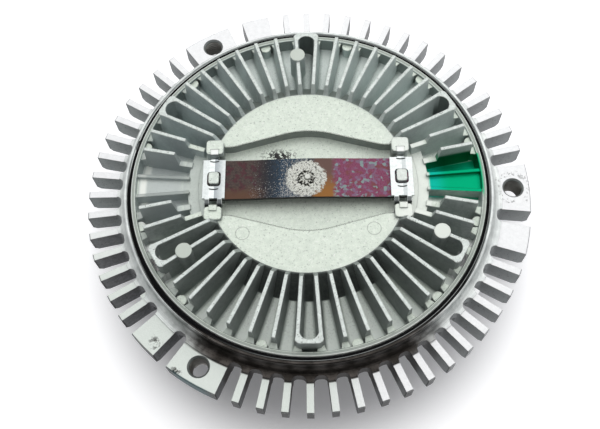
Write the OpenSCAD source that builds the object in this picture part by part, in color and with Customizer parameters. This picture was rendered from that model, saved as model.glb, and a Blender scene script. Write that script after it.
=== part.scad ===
// Viscous fan clutch: a finned housing on a bearing, driven through a fluid by a disc on the shaft.
// Z points from the shaft's rear flange to the finned front cover, and X lies along the bimetal strip.

/* [Housing] */
// Outer diameter over the housing fins
housing_d = 170; // [160:1:190]
// Places for fins round the housing
housing_fins = 60; // [54:3:66]
// Thickness of a housing fin
housing_fin_t = 2.6; // [2:0.1:3]
// Height of the housing fins
housing_fin_h = 9.7; // [8:0.1:11]
// Radial length of the housing fins
housing_fin_len = 13; // [11.5:0.5:15]
// Corner radius at the bottom of a slot between housing fins
slot_corner_r = 2; // [0.8:0.1:2.1]
// Chamfer at the lower outer corner of the housing fins
fin_tip_cut = 1.4; // [0.5:0.1:2.5]
// Thickness of the ring that carries the housing fins
web_t = 5; // [4:0.1:6]
// Radial width of the sloping shoulder above the fins
shoulder_w = 3.8; // [3.2:0.1:4.6]
// Height of the step where the machined tops of the fins meet the shoulder
face_step = 0.5; // [0.2:0.1:0.8]
// Width of the lip round the cover
lip_w = 1.4; // [1.2:0.1:1.8]
// Wall of the housing bowl
housing_wall = 4; // [3:0.5:5]
// Number of ribs on the rear of the bowl
rear_ribs = 30; // [18:6:36]
// Thickness of a rear rib
rear_rib_t = 2.5; // [2:0.1:3]

/* [Fan holes] */
// Radius of the tapped holes, as drilled
fan_hole_r = 3.4; // [2.5:0.1:3.6]
// Distance of the hole centres from the outer rim
fan_hole_inset = 6.4; // [6:0.1:6.8]
// Widening of a hole at its mouth
fan_hole_chamfer = 0.7; // [0.3:0.1:0.9]

/* [Cover] */
// Groove between the cover's rim and the lip
seal_gap = 1.5; // [1.4:0.1:2.2]
// Width of the cover's rim at its top
rim_w = 1.7; // [1.2:0.1:2]
// Width of the finned trough
trough_w = 19.9; // [17:0.1:23]
// Width of the sloping side of the raised middle
cone_w = 7.7; // [6.5:0.1:9]
// Wall of the cover
cover_wall = 3; // [2.5:0.1:3.5]
// Height of the raised middle above the trough
plateau_h = 8.35; // [7.6:0.05:9]
// Fins in the trough
cover_fins = 48; // [36:12:60]
// Height of the cover fins above the trough
cover_fin_h = 11.9; // [10.8:0.1:12.4]
// Thickness of a cover fin at its top
cover_fin_t = 1.3; // [1:0.1:1.6]
// Thickness of a cover fin at its foot
cover_fin_foot = 2.9; // [2.4:0.1:3.2]
// Gap between the outer ends of the cover fins and the rim
fin_end_gap = 2.2; // [1.8:0.1:2.6]
// Outer corner radius of the closed ends between fins
closure_r = 2; // [1:0.1:2.4]
// Radius of the round posts
post_r = 2.95; // [2.5:0.05:3.5]
// Height of the round posts above the trough
post_h = 12.6; // [12.4:0.1:14]
// Distance of the round posts from the rim
post_inset = 11.8; // [10:0.1:13]

/* [Strip recess] */
// Depth of the recess in the raised middle
recess_depth = 4.55; // [4:0.05:5.2]
// Half width of the recess at its ends
recess_end_w = 14.2; // [13.5:0.1:15]
// Half width of the recess at its middle
recess_mid_w = 20.7; // [19:0.1:22]
// Radius of the bulge at the middle of the recess
recess_arc_r = 34; // [28:1:40]
// Angle between the recess's sloping flanks and the strip
recess_flank_a = 15.2; // [13:0.1:18]
// Radius where a sloping flank meets a straight end
recess_blend_r = 9; // [6:0.5:12]

/* [Bimetal strip] */
// Width of the strip
strip_w = 16; // [14:0.5:17]
// Thickness of the strip
strip_t = 1.4; // [1:0.1:1.6]
// Height of the strip's ends above the recess floor, underneath
strip_lift = 3.7; // [3:0.1:4.5]
// Rise of the strip's middle above its ends
strip_bow = 1; // [0.4:0.1:1.6]
// Distance of the square studs from the edge of the raised middle
stud_inset = 2.6; // [2.2:0.1:3.4]
// Stud length along the strip
stud_l = 3.8; // [3:0.1:4.2]
// Stud width across the strip
stud_w = 4.8; // [4:0.1:5.4]
// Height of the studs above the clips
stud_proud = 1; // [0.5:0.1:1.5]
// Length of a clip along the strip
clip_l = 8.4; // [7.6:0.1:9]
// Sheet thickness of the clips
clip_t = 0.9; // [0.6:0.1:1.2]
// Width of a clip's tongue
tongue_w = 2.6; // [2:0.1:3]
// Length of a clip's tongue
tongue_l = 3.4; // [3:0.1:3.8]
// Drop of a clip's tongue below its plate
tongue_drop = 1.2; // [1:0.1:1.4]
// Outer radius of a clip's curled legs
curl_r = 1.6; // [1.4:0.1:1.8]
// Width of a clip lug
lug_w = 6.4; // [5.6:0.1:7]
// Width of the small pad on a clip lug
lug_pad_w = 2.9; // [2.4:0.1:3.4]

/* [Control] */
// Radius of the control pin
pin_r = 1.5; // [1.2:0.1:1.8]
// Travel of the control pin
pin_travel = 1; // [0.6:0.1:1.2]
// Thickness of the valve lever
lever_t = 0.6; // [0.4:0.1:0.8]
// Width of the valve lever
lever_w = 8; // [6:0.5:10]
// Distance of the lever's tail from the middle
lever_tail = 18; // [16:0.5:20]
// Distance of the valve hole from the middle
valve_y = 28; // [26:0.5:30]
// Radius of the valve hole
valve_hole_r = 3; // [2:0.1:3.5]

/* [Chamber] */
// Height of the shear ribs
rib_h = 5; // [4:0.5:6]
// Spacing of the shear ribs
rib_pitch = 4; // [3.8:0.1:4.4]
// Thickness of the shear ribs on the disc
disc_rib_t = 1.6; // [1.4:0.1:1.7]
// Thickness of the shear ribs on the housing
housing_rib_t = 1.4; // [1.2:0.1:1.5]
// Thickness of the disc's rim
disc_t = 4; // [3:0.5:5]
// Gap below and beside the ends of the shear ribs
end_gap = 1.5; // [1:0.1:2]
// Gap between the disc's edge and the chamber wall
edge_gap = 4; // [3.5:0.1:5]
// Gap between disc and separator plate
plate_gap = 1.6; // [1.4:0.1:2.4]
// Thickness of the separator plate
plate_t = 1.2; // [0.8:0.1:1.5]
// Width of the ledge that carries the cover
ledge_w = 5; // [4:0.5:6]

/* [Shaft and bearing] */
// Radius of the shaft's rear flange
flange_r = 24; // [20:1:28]
// Thickness of the shaft's rear flange
flange_t = 7; // [5:0.5:10]
// Gap between the flange and the hub
flange_gap = 5; // [3:0.5:8]
// Radius of the shaft's threaded hole, as drilled
shaft_hole_r = 4.25; // [3.4:0.05:5.1]
// Depth of the shaft's threaded hole
shaft_hole_l = 22; // [18:1:26]
// Bore radius of the bearing
bearing_bore_r = 8.5; // [7.5:0.5:8.5]
// Radial width of the bearing from bore to outside
bearing_section = 11.5; // [11:0.5:13]
// Width of the bearing
bearing_w = 12; // [11:0.5:14]
// Radius of the bearing balls
ball_r = 3.37; // [3:0.01:3.5]
// Number of bearing balls
ball_n = 8; // [6:1:8]
// Wall of the hub round the bearing
hub_wall = 6.5; // [5.5:0.5:8]
// Radius of the shaft's front end
spigot_r = 6; // [5:0.5:6.5]
// Height of the disc nut
nut_h = 5; // [4:0.5:6]

/* [Hidden] */
$fn = 96;

// Clearances
press_gap = 0.02;
running_gap = 0.05;
seat_gap = 0.1;
loose_gap = 0.2;
air_gap = 0.6;
// Depth by which joined shapes reach into each other
bite = 0.6;
// Small edge breaks
edge = 0.4;

// Colours
cast_colour = [0.80, 0.82, 0.80];
housing_colour = [0.84, 0.85, 0.86];
steel_colour = [0.72, 0.73, 0.76];
rubber_colour = [0.06, 0.06, 0.06];
strip_colour = [0.48, 0.28, 0.36];

// Radii, from the outer rim inwards
housing_r = housing_d / 2;
slot_root_r = housing_r - housing_fin_len;
fan_hole_pcr = housing_r - fan_hole_inset;
shoulder_land = 1.6;
shoulder_foot_r = slot_root_r + shoulder_land;
lip_outer_r = shoulder_foot_r - shoulder_w;
lip_bore_r = lip_outer_r - lip_w;
ring_groove_depth = 0.85;
ring_groove_r = lip_bore_r + ring_groove_depth;
cover_rim_r = lip_bore_r - seal_gap;
cover_flange_r = lip_bore_r - loose_gap;
rim_in_r = cover_rim_r - rim_w;
cone_foot_r = rim_in_r - trough_w;
plateau_r = cone_foot_r - cone_w;
fin_out_r = rim_in_r - fin_end_gap;
chamber_r = lip_bore_r - ledge_w;
disc_r = chamber_r - edge_gap;
bowl_r = chamber_r + housing_wall;

// Heights, from the rear flange upwards
hub_rear_z = flange_t + flange_gap;
circlip_land = 2;
circlip_t = 1.2;
bearing_z = hub_rear_z + circlip_land + circlip_t;
bearing_top_z = bearing_z + bearing_w;
pocket_lip = 3.5;
chamber_z = bearing_top_z + pocket_lip;
disc_low_z = chamber_z + end_gap;
disc_face_z = disc_low_z + rib_h;
disc_top_z = disc_face_z + disc_t;
plate_z = disc_top_z + plate_gap;
cover_under_z = plate_z + plate_t;
trough_z = cover_under_z + cover_wall;
trough_rise = 1.8;
fan_face_z = trough_z - trough_rise;
cover_flange_t = 5.8;
flange_top_z = cover_under_z + cover_flange_t;
seal_t = 1.2;
ring_z = flange_top_z + seal_t;
ring_t = 1.1;
ring_top_z = ring_z + ring_t;
lip_over = 0.6;
lip_z = ring_top_z + lip_over;
rim_over = 0.2;
rim_z = lip_z + rim_over;
gusset_z = rim_z - air_gap;
plateau_z = trough_z + plateau_h;
cover_fin_z = trough_z + cover_fin_h;
recess_z = plateau_z - recess_depth;
ceiling_z = plateau_z - cover_wall;
boss_z = recess_z - cover_wall;
seat_z = recess_z + strip_lift;
strip_end_z = seat_z + strip_t;
clip_z = strip_end_z + press_gap;
clip_top_z = clip_z + clip_t;
stud_z = clip_top_z + stud_proud;
lever_z = cover_under_z + running_gap;
lever_top_z = lever_z + lever_t;
pin_tip_z = lever_top_z + loose_gap;
strip_mid_z = seat_z + strip_bow;

// Places
stud_x = plateau_r - stud_inset;
strip_half_l = stud_x + clip_l / 2 - air_gap;
clip_half_w = strip_w / 2;
shelf_r = cone_foot_r + 0.3;
// Height and thickness of the low ridges on the panels in front of the strip's ends
ridge_rise = 1.5;
ridge_t = 1.3;
// Height of the low steps of the fins beside the ridges
step_rise = 0.9;
// Reservoir
cavity_foot_r = cone_foot_r - cover_wall;
cavity_top_r = plateau_r - cover_wall;
// Rivets of the separator plate
rivet_pcr = (cone_foot_r + chamber_r) / 2;
rivet_n = 6;
rivet_r = 1.5;
rivet_head_r = 2.6;
rivet_head_h = 0.8;
rivet_l = cover_wall - 0.8;

function polar(r, a) = [r * cos(a), r * sin(a)];
// Points of an arc about [cx, cy] from angle a0 to a1
function arc(cx, cy, r, a0, a1, n) =
    [for (i = [0:n]) [cx + r * cos(a0 + (a1 - a0) * i / n), cy + r * sin(a0 + (a1 - a0) * i / n)]];
// Outline of a rectangle with round corners
function round_rect(w, h, r) = concat(
    arc(w / 2 - r, h / 2 - r, r, 0, 90, 4), arc(r - w / 2, h / 2 - r, r, 90, 180, 4),
    arc(r - w / 2, r - h / 2, r, 180, 270, 4), arc(w / 2 - r, r - h / 2, r, 270, 360, 4));

// A profile in r and z, made a plate of thickness t that stands on the X axis
module upright(points, t) {
    rotate([90, 0, 0])
        translate([0, 0, -t / 2])
            linear_extrude(t)
                polygon(points);
}

// A flat ring between two radii
module flat_ring(r_in, r_out, z, h) {
    translate([0, 0, z])
        difference() {
            cylinder(r = r_out, h = h);
            translate([0, 0, -1])
                cylinder(r = r_in, h = h + 2);
        }
}

// Housing
housing_pitch = 360 / housing_fins;
pad_places = [0, 120, 240];
hub_r = bearing_bore_r + bearing_section + hub_wall;
pocket_r = bearing_bore_r + bearing_section + press_gap;
circlip_groove_r = pocket_r + 1;
hub_open_r = pocket_r - 3.5;
hub_fillet = 2;
bowl_cone = 5;

// Middle radius of a shear rib on the housing, between two ribs of the disc
function housing_rib_r(i) = disc_r - disc_rib_t / 2 - rib_pitch * (i + 0.5);

// True where the slot is left out: two inside each screw pad, one inside each blank pad
function slot_filled(a) = len([for (p = pad_places, s = [-2.5, -0.5, 0.5])
    if (abs((a - p - s * housing_pitch + 540) % 360 - 180) < housing_pitch / 4) 1]) > 0;

// Slot between two fins, on the X axis: parallel fin sides and two round inner corners
function slot_points() =
    let (half = housing_pitch / 2,
         side = housing_fin_t / 2,
         out = housing_r + 2,
         lean = asin(side / out),
         c_x = slot_root_r + slot_corner_r,
         c_y = c_x * tan(half) - (side + slot_corner_r) / cos(half))
    concat([polar(out, half - lean)],
        arc(c_x, c_y, slot_corner_r, 90 + half, 180, 4),
        arc(c_x, -c_y, slot_corner_r, 180, 270 - half, 4),
        [polar(out, lean - half)]);

// Space between two fins below the ring that carries them, on the X axis
function under_points() =
    let (x0 = bowl_r + edge,
         x1 = slot_root_r + slot_corner_r,
         y0 = x0 * tan(housing_pitch / 2) - housing_fin_t / 2 - edge / 2,
         y1 = x1 * tan(housing_pitch / 2) - housing_fin_t / 2 - edge / 2)
    [[x0, -y0], [x1, -y1], [x1, y1], [x0, y0]];

module housing_bowl() {
    labyrinth = [for (i = [2:-1:0], p = [[-1, 0], [-1, 1], [1, 1], [1, 0]])
        [housing_rib_r(i) + p[0] * housing_rib_t / 2, chamber_z + p[1] * rib_h]];
    rotate_extrude($fn = 180)
        polygon(concat(
            [[hub_open_r, chamber_z]],
            labyrinth,
            [[chamber_r, chamber_z], [chamber_r, cover_under_z], [lip_bore_r, cover_under_z],
             [lip_bore_r, ring_z - running_gap], [ring_groove_r, ring_z - running_gap],
             [ring_groove_r, ring_top_z + running_gap], [lip_bore_r, ring_top_z + running_gap],
             [lip_bore_r, lip_z - edge], [lip_bore_r + edge, lip_z],
             [lip_outer_r - edge, lip_z], [lip_outer_r, lip_z - edge]],
            arc(shoulder_foot_r, fan_face_z + face_step + shoulder_w, shoulder_w, 180, 270, 8),
            [[shoulder_foot_r + edge, fan_face_z + face_step], [shoulder_foot_r + edge, fan_face_z],
             [housing_r - edge, fan_face_z], [housing_r, fan_face_z - edge],
             [housing_r, fan_face_z - housing_fin_h + fin_tip_cut],
             [housing_r - fin_tip_cut, fan_face_z - housing_fin_h],
             [bowl_r, fan_face_z - housing_fin_h],
             [bowl_r, chamber_z - housing_wall + bowl_cone], [bowl_r - bowl_cone, chamber_z - housing_wall],
             [hub_r + hub_fillet, chamber_z - housing_wall], [hub_r, chamber_z - housing_wall - hub_fillet],
             [hub_r, hub_rear_z + edge], [hub_r - edge, hub_rear_z],
             [pocket_r, hub_rear_z], [pocket_r, bearing_z - circlip_t - running_gap],
             [circlip_groove_r, bearing_z - circlip_t - running_gap], [circlip_groove_r, bearing_z],
             [pocket_r, bearing_z], [pocket_r, bearing_top_z], [hub_open_r, bearing_top_z]]));
}

module rear_rib() {
    rib_low_z = bearing_z + bearing_w / 3;
    root_z = chamber_z - housing_wall + bite;
    upright([[hub_r - bite, rib_low_z], [hub_r + 2, rib_low_z],
             [bowl_r - bowl_cone, chamber_z - housing_wall - 1],
             [bowl_r - bowl_cone, root_z], [hub_r - bite, root_z]], rear_rib_t);
}

module fan_hole() {
    translate([fan_hole_pcr, 0, fan_face_z - housing_fin_h - 1])
        cylinder(r = fan_hole_r, h = housing_fin_h + 2, $fn = 48);
    translate([fan_hole_pcr, 0, fan_face_z - fan_hole_chamfer])
        cylinder(r1 = fan_hole_r, r2 = fan_hole_r + 2 * fan_hole_chamfer, h = 2 * fan_hole_chamfer, $fn = 48);
}

// Small block in the inner corner of a slot, beside one fin, for a slot on the X axis
slot_block_l = 2.6;
slot_block_w = 1.7;
module slot_block() {
    half = housing_pitch / 2;
    x0 = slot_root_r - bite;
    x1 = slot_root_r + slot_block_l;
    y0 = x0 * tan(half) - housing_fin_t / 2;
    y1 = x1 * tan(half) - housing_fin_t / 2;
    translate([0, 0, fan_face_z - web_t + edge])
        linear_extrude(web_t - 1.5 * edge)
            polygon([[x0, y0 - slot_block_w], [x1, y1 - slot_block_w], [x1, y1 + bite], [x0, y0 + bite]]);
}

// Middle angle of the slot nearest to angle a
function slot_angle(a) = (floor(a / housing_pitch) + 0.5) * housing_pitch;

module slotted_housing() {
    difference() {
        union() {
            housing_bowl();
            for (i = [0:rear_ribs - 1])
                rotate([0, 0, (i + 0.5) * 360 / rear_ribs])
                    rear_rib();
        }
        translate([0, 0, fan_face_z - housing_fin_h - 1])
            linear_extrude(housing_fin_h + shoulder_w + 2)
                for (i = [0:housing_fins - 1])
                    if (!slot_filled((i + 0.5) * housing_pitch))
                        rotate((i + 0.5) * housing_pitch)
                            polygon(slot_points());
        translate([0, 0, fan_face_z - housing_fin_h - 1])
            linear_extrude(housing_fin_h + 1 - web_t)
                for (i = [0:housing_fins - 1])
                    if (!slot_filled((i + 0.5) * housing_pitch))
                        rotate((i + 0.5) * housing_pitch)
                            polygon(under_points());
        for (a = pad_places)
            rotate([0, 0, a])
                fan_hole();
    }
}

module rear_housing() {
    color(housing_colour)
        union() {
            slotted_housing();
            rotate([0, 0, slot_angle(213)])
                slot_block();
            rotate([0, 0, slot_angle(327)])
                mirror([0, 1, 0])
                    slot_block();
        }
}

// Front cover
cover_pitch = 360 / cover_fins;

// Upper edge of the recess outline: a round middle, two straight flanks and straight ends
function recess_half(grow, end_x) =
    let (r = recess_arc_r + grow,
         b = recess_blend_r - grow,
         cy = recess_mid_w - recess_arc_r,
         end_y = recess_end_w + grow,
         corner_x = r * sin(recess_flank_a) + (cy + r * cos(recess_flank_a) - end_y) / tan(recess_flank_a),
         bx = corner_x + b * tan(recess_flank_a / 2))
    concat([[end_x, end_y]],
        arc(bx, end_y + b, b, 270, 270 - recess_flank_a, 4),
        arc(0, cy, r, 90 - recess_flank_a, 90 + recess_flank_a, 12),
        arc(-bx, end_y + b, b, 270 + recess_flank_a, 270, 4),
        [[-end_x, end_y]]);

module recess_shape(grow, end_x) {
    half = recess_half(grow, end_x);
    polygon(concat(half, [for (p = half) [-p[0], -p[1]]]));
}

module cover_shell() {
    difference() {
        rotate_extrude($fn = 180)
            polygon([[0, plateau_z], [plateau_r - edge, plateau_z], [plateau_r, plateau_z - edge],
                     [cone_foot_r, trough_z], [rim_in_r - edge, trough_z], [rim_in_r, rim_z - edge / 2],
                     [rim_in_r + edge / 2, rim_z], [cover_rim_r - edge / 2, rim_z],
                     [cover_rim_r, rim_z - edge / 2], [cover_rim_r, flange_top_z],
                     [cover_flange_r, flange_top_z], [cover_flange_r, cover_under_z], [0, cover_under_z]]);
        difference() {
            rotate_extrude($fn = 180)
                polygon([[0, ceiling_z], [cavity_top_r, ceiling_z], [cavity_foot_r, cover_under_z],
                         [cavity_foot_r, cover_under_z - 1], [0, cover_under_z - 1]]);
            translate([0, 0, boss_z])
                linear_extrude(plateau_h)
                    recess_shape(cover_wall, housing_r);
        }
        translate([0, 0, recess_z])
            linear_extrude(plateau_h)
                recess_shape(0, shelf_r);
    }
}

// Flat shelf in front of each end of the recess
module shelf() {
    inner_r = cone_foot_r - cover_wall - bite;
    translate([0, 0, trough_z - bite])
        linear_extrude(recess_z - trough_z + bite)
            intersection() {
                difference() {
                    circle(r = shelf_r);
                    circle(r = inner_r);
                }
                translate([0, -recess_end_w])
                    square([housing_r, 2 * recess_end_w]);
            }
}

// Raised panel between the two low ridges, from the shelf to the rim
module end_panel() {
    half = cover_pitch / 2;
    in_r = cone_foot_r - cover_wall;
    out_r = rim_in_r + rim_w / 2;
    translate([0, 0, trough_z - bite])
        linear_extrude(recess_z - trough_z + bite)
            polygon([polar(in_r, -half), polar(out_r, -half), polar(out_r, half), polar(in_r, half)]);
}

// Place of cover fin i, counted from the strip's axis
function fin_place(i) =
    let (a = ((i + 0.5) * cover_pitch) % 180)
    floor(min(a, 180 - a) / cover_pitch);

// Side profile of a cover fin by its place from the strip's axis: 0 is a low ridge, 1 and 2 are stepped
function fin_profile(place) =
    let (low_z = trough_z - bite,
         foot_r = cone_foot_r - bite / 2,
         ridge_z = recess_z + ridge_rise,
         step_z = recess_z + step_rise,
         mid_z = plateau_z - edge / 2)
    place == 0 ? [[foot_r, low_z], [foot_r, ridge_z], [rim_in_r + bite, ridge_z], [rim_in_r + bite, low_z]] :
    place == 1 ? [[foot_r, low_z], [foot_r, step_z], [cone_foot_r + 4.7, step_z],
                  [cone_foot_r + 5.7, cover_fin_z], [fin_out_r, cover_fin_z], [fin_out_r, low_z]] :
    place == 2 ? [[cone_foot_r - cone_w / 2, recess_z - bite], [cone_foot_r - cone_w / 2, mid_z],
                  [cone_foot_r + 2.5, mid_z], [cone_foot_r + 3.5, cover_fin_z],
                  [fin_out_r, cover_fin_z], [fin_out_r, low_z], [foot_r, low_z]] :
    [[plateau_r - bite, plateau_z - bite], [plateau_r - edge / 2, plateau_z], [plateau_r + 2.2, cover_fin_z],
     [fin_out_r, cover_fin_z], [fin_out_r, low_z], [foot_r, low_z]];

// Half the thickness of a cover fin at height z
function fin_half(z) = cover_fin_t / 2 + (cover_fin_foot - cover_fin_t) / 2 * (cover_fin_z - z) / cover_fin_h;

// Fin with sides that lean inwards to its top
module cover_fin(place) {
    low_z = trough_z - 2 * bite;
    high_z = cover_fin_z + bite;
    if (place == 0)
        upright(fin_profile(place), ridge_t);
    else intersection() {
        upright(fin_profile(place), 2 * cover_fin_foot);
        rotate([90, 0, 90])
            linear_extrude(housing_r)
                polygon([[-fin_half(low_z), low_z], [fin_half(low_z), low_z],
                         [fin_half(high_z), high_z], [-fin_half(high_z), high_z]]);
    }
}

// Flared feet that tie the fins' outer ends to the rim
module fin_gussets() {
    tip_r = fin_out_r - 2 * bite;
    tip_a = atan(cover_fin_t / 2 / tip_r);
    flare_r = rim_in_r + rim_w / 3;
    flare_a = cover_pitch / 4.5;
    flare = [[-flare_a, flare_r], [-tip_a, tip_r], [tip_a, tip_r], [flare_a, flare_r]];
    inside = [for (i = [0:cover_fins - 1], s = fin_place(i) == 0 ? [[0, flare_r]] : flare)
        polar(s[1], (i + 0.5) * cover_pitch + s[0])];
    translate([0, 0, trough_z - bite])
        linear_extrude(gusset_z - trough_z + bite)
            difference() {
                circle(r = rim_in_r + rim_w * 2 / 3, $fn = 180);
                polygon(inside);
            }
}

// Radius of the small round pads at the foot of the rim
ejector_r = 2;

// Closed end between two neighbouring fins
module fin_closure() {
    gap_r = fin_out_r * tan(cover_pitch / 2) - cover_fin_t / 2;
    notch_x = fin_out_r - edge - gap_r;
    end_r = fin_out_r + 1;
    half = cover_pitch / 2;
    half_w = fin_out_r * tan(half) + cover_fin_t / 2 + edge / 2;
    translate([0, 0, trough_z - bite])
        linear_extrude(cover_fin_h + bite)
            difference() {
                polygon(concat(
                    [polar(notch_x, -half)],
                    arc(end_r - closure_r, closure_r - half_w, closure_r, 280, 360, 5),
                    arc(end_r - closure_r, half_w - closure_r, closure_r, 0, 80, 5),
                    [polar(notch_x, half)]));
                translate([notch_x, 0])
                    circle(r = gap_r, $fn = 48);
            }
}

// Lug with a small raised pad on its front edge, which faces the clip
module lug(front_y, back_y, top_z) {
    corner_r = 1.2;
    pad_l = 2.2;
    pad_rise = 0.5;
    translate([stud_x, (front_y + back_y) / 2, recess_z - bite])
        linear_extrude(top_z - recess_z + bite)
            polygon(round_rect(lug_w, back_y - front_y, corner_r));
    translate([stud_x - lug_pad_w / 2, front_y - pad_rise, recess_z - bite])
        cube([lug_pad_w, pad_l, top_z + pad_rise - recess_z + bite]);
}

lug_back_y = recess_end_w + clip_t * 2;

// Lug over a clip's tongue, on the side of positive Y
module tongue_lug() {
    front_y = clip_half_w + 2.1;
    difference() {
        lug(front_y, lug_back_y, clip_top_z + clip_t);
        translate([stud_x - tongue_w / 2 - loose_gap, front_y - 1, clip_z - tongue_drop - loose_gap])
            cube([tongue_w + 2 * loose_gap, clip_half_w + tongue_l + loose_gap - front_y + 1, clip_t + 2 * loose_gap]);
    }
}

// Lug behind a clip's curled legs, on the side of negative Y
module curl_lug() {
    front_y = clip_half_w + 2 * curl_r + loose_gap;
    mirror([0, 1, 0])
        lug(front_y, lug_back_y + bite, clip_top_z);
}

// Seat for a strip end, with the square stud that locates strip and clip
module strip_seat() {
    seat_l = clip_l - 2 * air_gap;
    translate([stud_x - seat_l / 2, -clip_half_w + air_gap, recess_z - bite])
        cube([seat_l, strip_w - 2 * air_gap, strip_lift + bite]);
    translate([stud_x, 0, seat_z - bite])
        linear_extrude(stud_z - seat_z + bite)
            polygon(round_rect(stud_l, stud_w, stud_l / 4));
}

// Passage of the control pin, with the groove for its seal
seal_groove_r = 2 * pin_r;
seal_groove_h = 1.6;
module pin_passage() {
    translate([0, 0, boss_z - 1])
        cylinder(r = pin_r + running_gap, h = cover_wall + 2, $fn = 48);
    translate([0, 0, boss_z - 1])
        cylinder(r = seal_groove_r, h = seal_groove_h + 1, $fn = 48);
}

module front_cover() {
    color(cast_colour)
        difference() {
            union() {
                cover_shell();
                fin_gussets();
                for (i = [0:cover_fins - 1])
                    rotate([0, 0, (i + 0.5) * cover_pitch])
                        cover_fin(fin_place(i));
                for (a = [30:60:330])
                    rotate([0, 0, a])
                        fin_closure();
                for (a = [90, 210, 330])
                    rotate([0, 0, a + cover_pitch / 2])
                        translate([rim_in_r - post_inset, 0, trough_z - bite])
                            cylinder(r = post_r, h = post_h + bite, $fn = 48);
                for (a = [15:30:345])
                    rotate([0, 0, a])
                        translate([cover_rim_r - edge - ejector_r, 0, trough_z - bite])
                            cylinder(r = ejector_r, h = gusset_z - trough_z, $fn = 32);
                for (side = [0, 1])
                    mirror([side, 0, 0]) {
                        shelf();
                        end_panel();
                        tongue_lug();
                        curl_lug();
                        strip_seat();
                    }
            }
            pin_passage();
            for (i = [0:rivet_n - 1])
                rotate([0, 0, i * 360 / rivet_n])
                    translate([rivet_pcr, 0, cover_under_z - 1])
                        cylinder(r = rivet_r + press_gap, h = rivet_l + 1, $fn = 32);
        }
}

// Seal and ring round the cover
module cover_seal() {
    color(rubber_colour)
        flat_ring(cover_rim_r + seat_gap, lip_bore_r - seat_gap, flange_top_z, seal_t, $fn = 180);
}

module cover_retaining_ring() {
    ring_in_r = cover_rim_r + seal_gap / 3;
    split_a = 165;
    split_w = 4;
    color(steel_colour)
        difference() {
            flat_ring(ring_in_r, ring_groove_r - seat_gap, ring_z, ring_t, $fn = 180);
            rotate([0, 0, split_a])
                translate([ring_in_r - 2, -split_w / 2, ring_z - 1])
                    cube([lip_w + seal_gap + 4, split_w, ring_t + 2]);
        }
}

// Bimetal strip and clips
pin_neck_r = pin_r * 2 / 3;
bow_half = stud_x - clip_l / 2 - loose_gap;
function bow_z(x) = abs(x) >= bow_half ? 0 : strip_bow * (0.5 + 0.5 * cos(180 * x / bow_half));

module bimetal_strip() {
    steps = 24;
    xs = [for (i = [0:steps]) -bow_half + 2 * bow_half * i / steps];
    low = concat([[-strip_half_l, seat_z]], [for (x = xs) [x, seat_z + bow_z(x)]], [[strip_half_l, seat_z]]);
    high = [for (i = [len(low) - 1:-1:0]) [low[i][0], low[i][1] + strip_t]];
    color(strip_colour)
        difference() {
            upright(concat(low, high), strip_w);
            for (side = [-1, 1])
                translate([side * stud_x, 0, seat_z - 1])
                    linear_extrude(strip_t + 2)
                        polygon(round_rect(stud_l + 2 * loose_gap, stud_w + 2 * loose_gap, stud_l / 4));
            translate([0, 0, strip_mid_z - 1])
                cylinder(r = pin_neck_r + seat_gap, h = strip_t + 2, $fn = 32);
        }
}

module strip_clip() {
    leg_w = 1.7;
    leg_x = lug_w / 2 - leg_w / 2;
    curl_y = clip_half_w + curl_r - loose_gap;
    curl_z = clip_top_z - curl_r;
    curl_end = 300;
    hook = concat(
        [[-clip_half_w + bite, clip_top_z]],
        arc(-curl_y, curl_z, curl_r, 90, curl_end, 12),
        arc(-curl_y, curl_z, curl_r - clip_t, curl_end, 90, 12),
        [[-clip_half_w + bite, clip_z]]);
    tongue = [
        [clip_half_w - bite, clip_top_z], [clip_half_w + 0.3, clip_top_z],
        [clip_half_w + 1.1, clip_top_z - tongue_drop], [clip_half_w + tongue_l, clip_top_z - tongue_drop],
        [clip_half_w + tongue_l, clip_z - tongue_drop], [clip_half_w + 0.9, clip_z - tongue_drop],
        [clip_half_w + loose_gap / 2, clip_z], [clip_half_w - bite, clip_z]];
    difference() {
        union() {
            translate([-clip_l / 2, -clip_half_w, clip_z])
                cube([clip_l, strip_w, clip_t]);
            translate([-tongue_w / 2, 0, 0])
                rotate([90, 0, 90])
                    linear_extrude(tongue_w)
                        polygon(tongue);
            for (side = [-1, 1])
                translate([side * leg_x - leg_w / 2, 0, 0])
                    rotate([90, 0, 90])
                        linear_extrude(leg_w)
                            polygon(hook);
        }
        translate([0, 0, clip_z - 1])
            linear_extrude(clip_t + 2)
                polygon(round_rect(stud_l + 2 * air_gap, stud_w + 2 * air_gap, stud_l / 3));
    }
}

module strip_clip_left() {
    color(steel_colour)
        translate([-stud_x, 0, 0])
            strip_clip();
}

module strip_clip_right() {
    color(steel_colour)
        translate([stud_x, 0, 0])
            strip_clip();
}

// Control pin: round tip, shank, neck through the strip and a domed head on it
module control_pin() {
    neck_top = strip_mid_z + strip_t + seat_gap;
    head_h = 0.8;
    color(steel_colour)
        union() {
            translate([0, 0, pin_tip_z + pin_r])
                sphere(r = pin_r, $fn = 48);
            translate([0, 0, pin_tip_z + pin_r])
                cylinder(r = pin_r, h = strip_mid_z - seat_gap - pin_tip_z - pin_r, $fn = 48);
            translate([0, 0, strip_mid_z - 1])
                cylinder(r = pin_neck_r, h = strip_t + 1 + bite, $fn = 48);
            translate([0, 0, neck_top])
                cylinder(r1 = pin_r, r2 = pin_neck_r, h = head_h, $fn = 48);
        }
}

module pin_seal() {
    color(rubber_colour)
        flat_ring(pin_r + running_gap, seal_groove_r - press_gap, boss_z, seal_groove_h, $fn = 48);
}

// Separator plate, valve and wiper
plate_r = chamber_r - seat_gap;
valve_rivet_y = -lever_tail + 3.6;
valve_rivet_r = 1;
wiper_in_r = disc_r + air_gap;
wiper_out_r = chamber_r - air_gap;
wiper_mid_r = (wiper_in_r + wiper_out_r) / 2;
wiper_a = 45;
wiper_stud_r = 0.7;
return_hole_r = 1.5;

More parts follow.
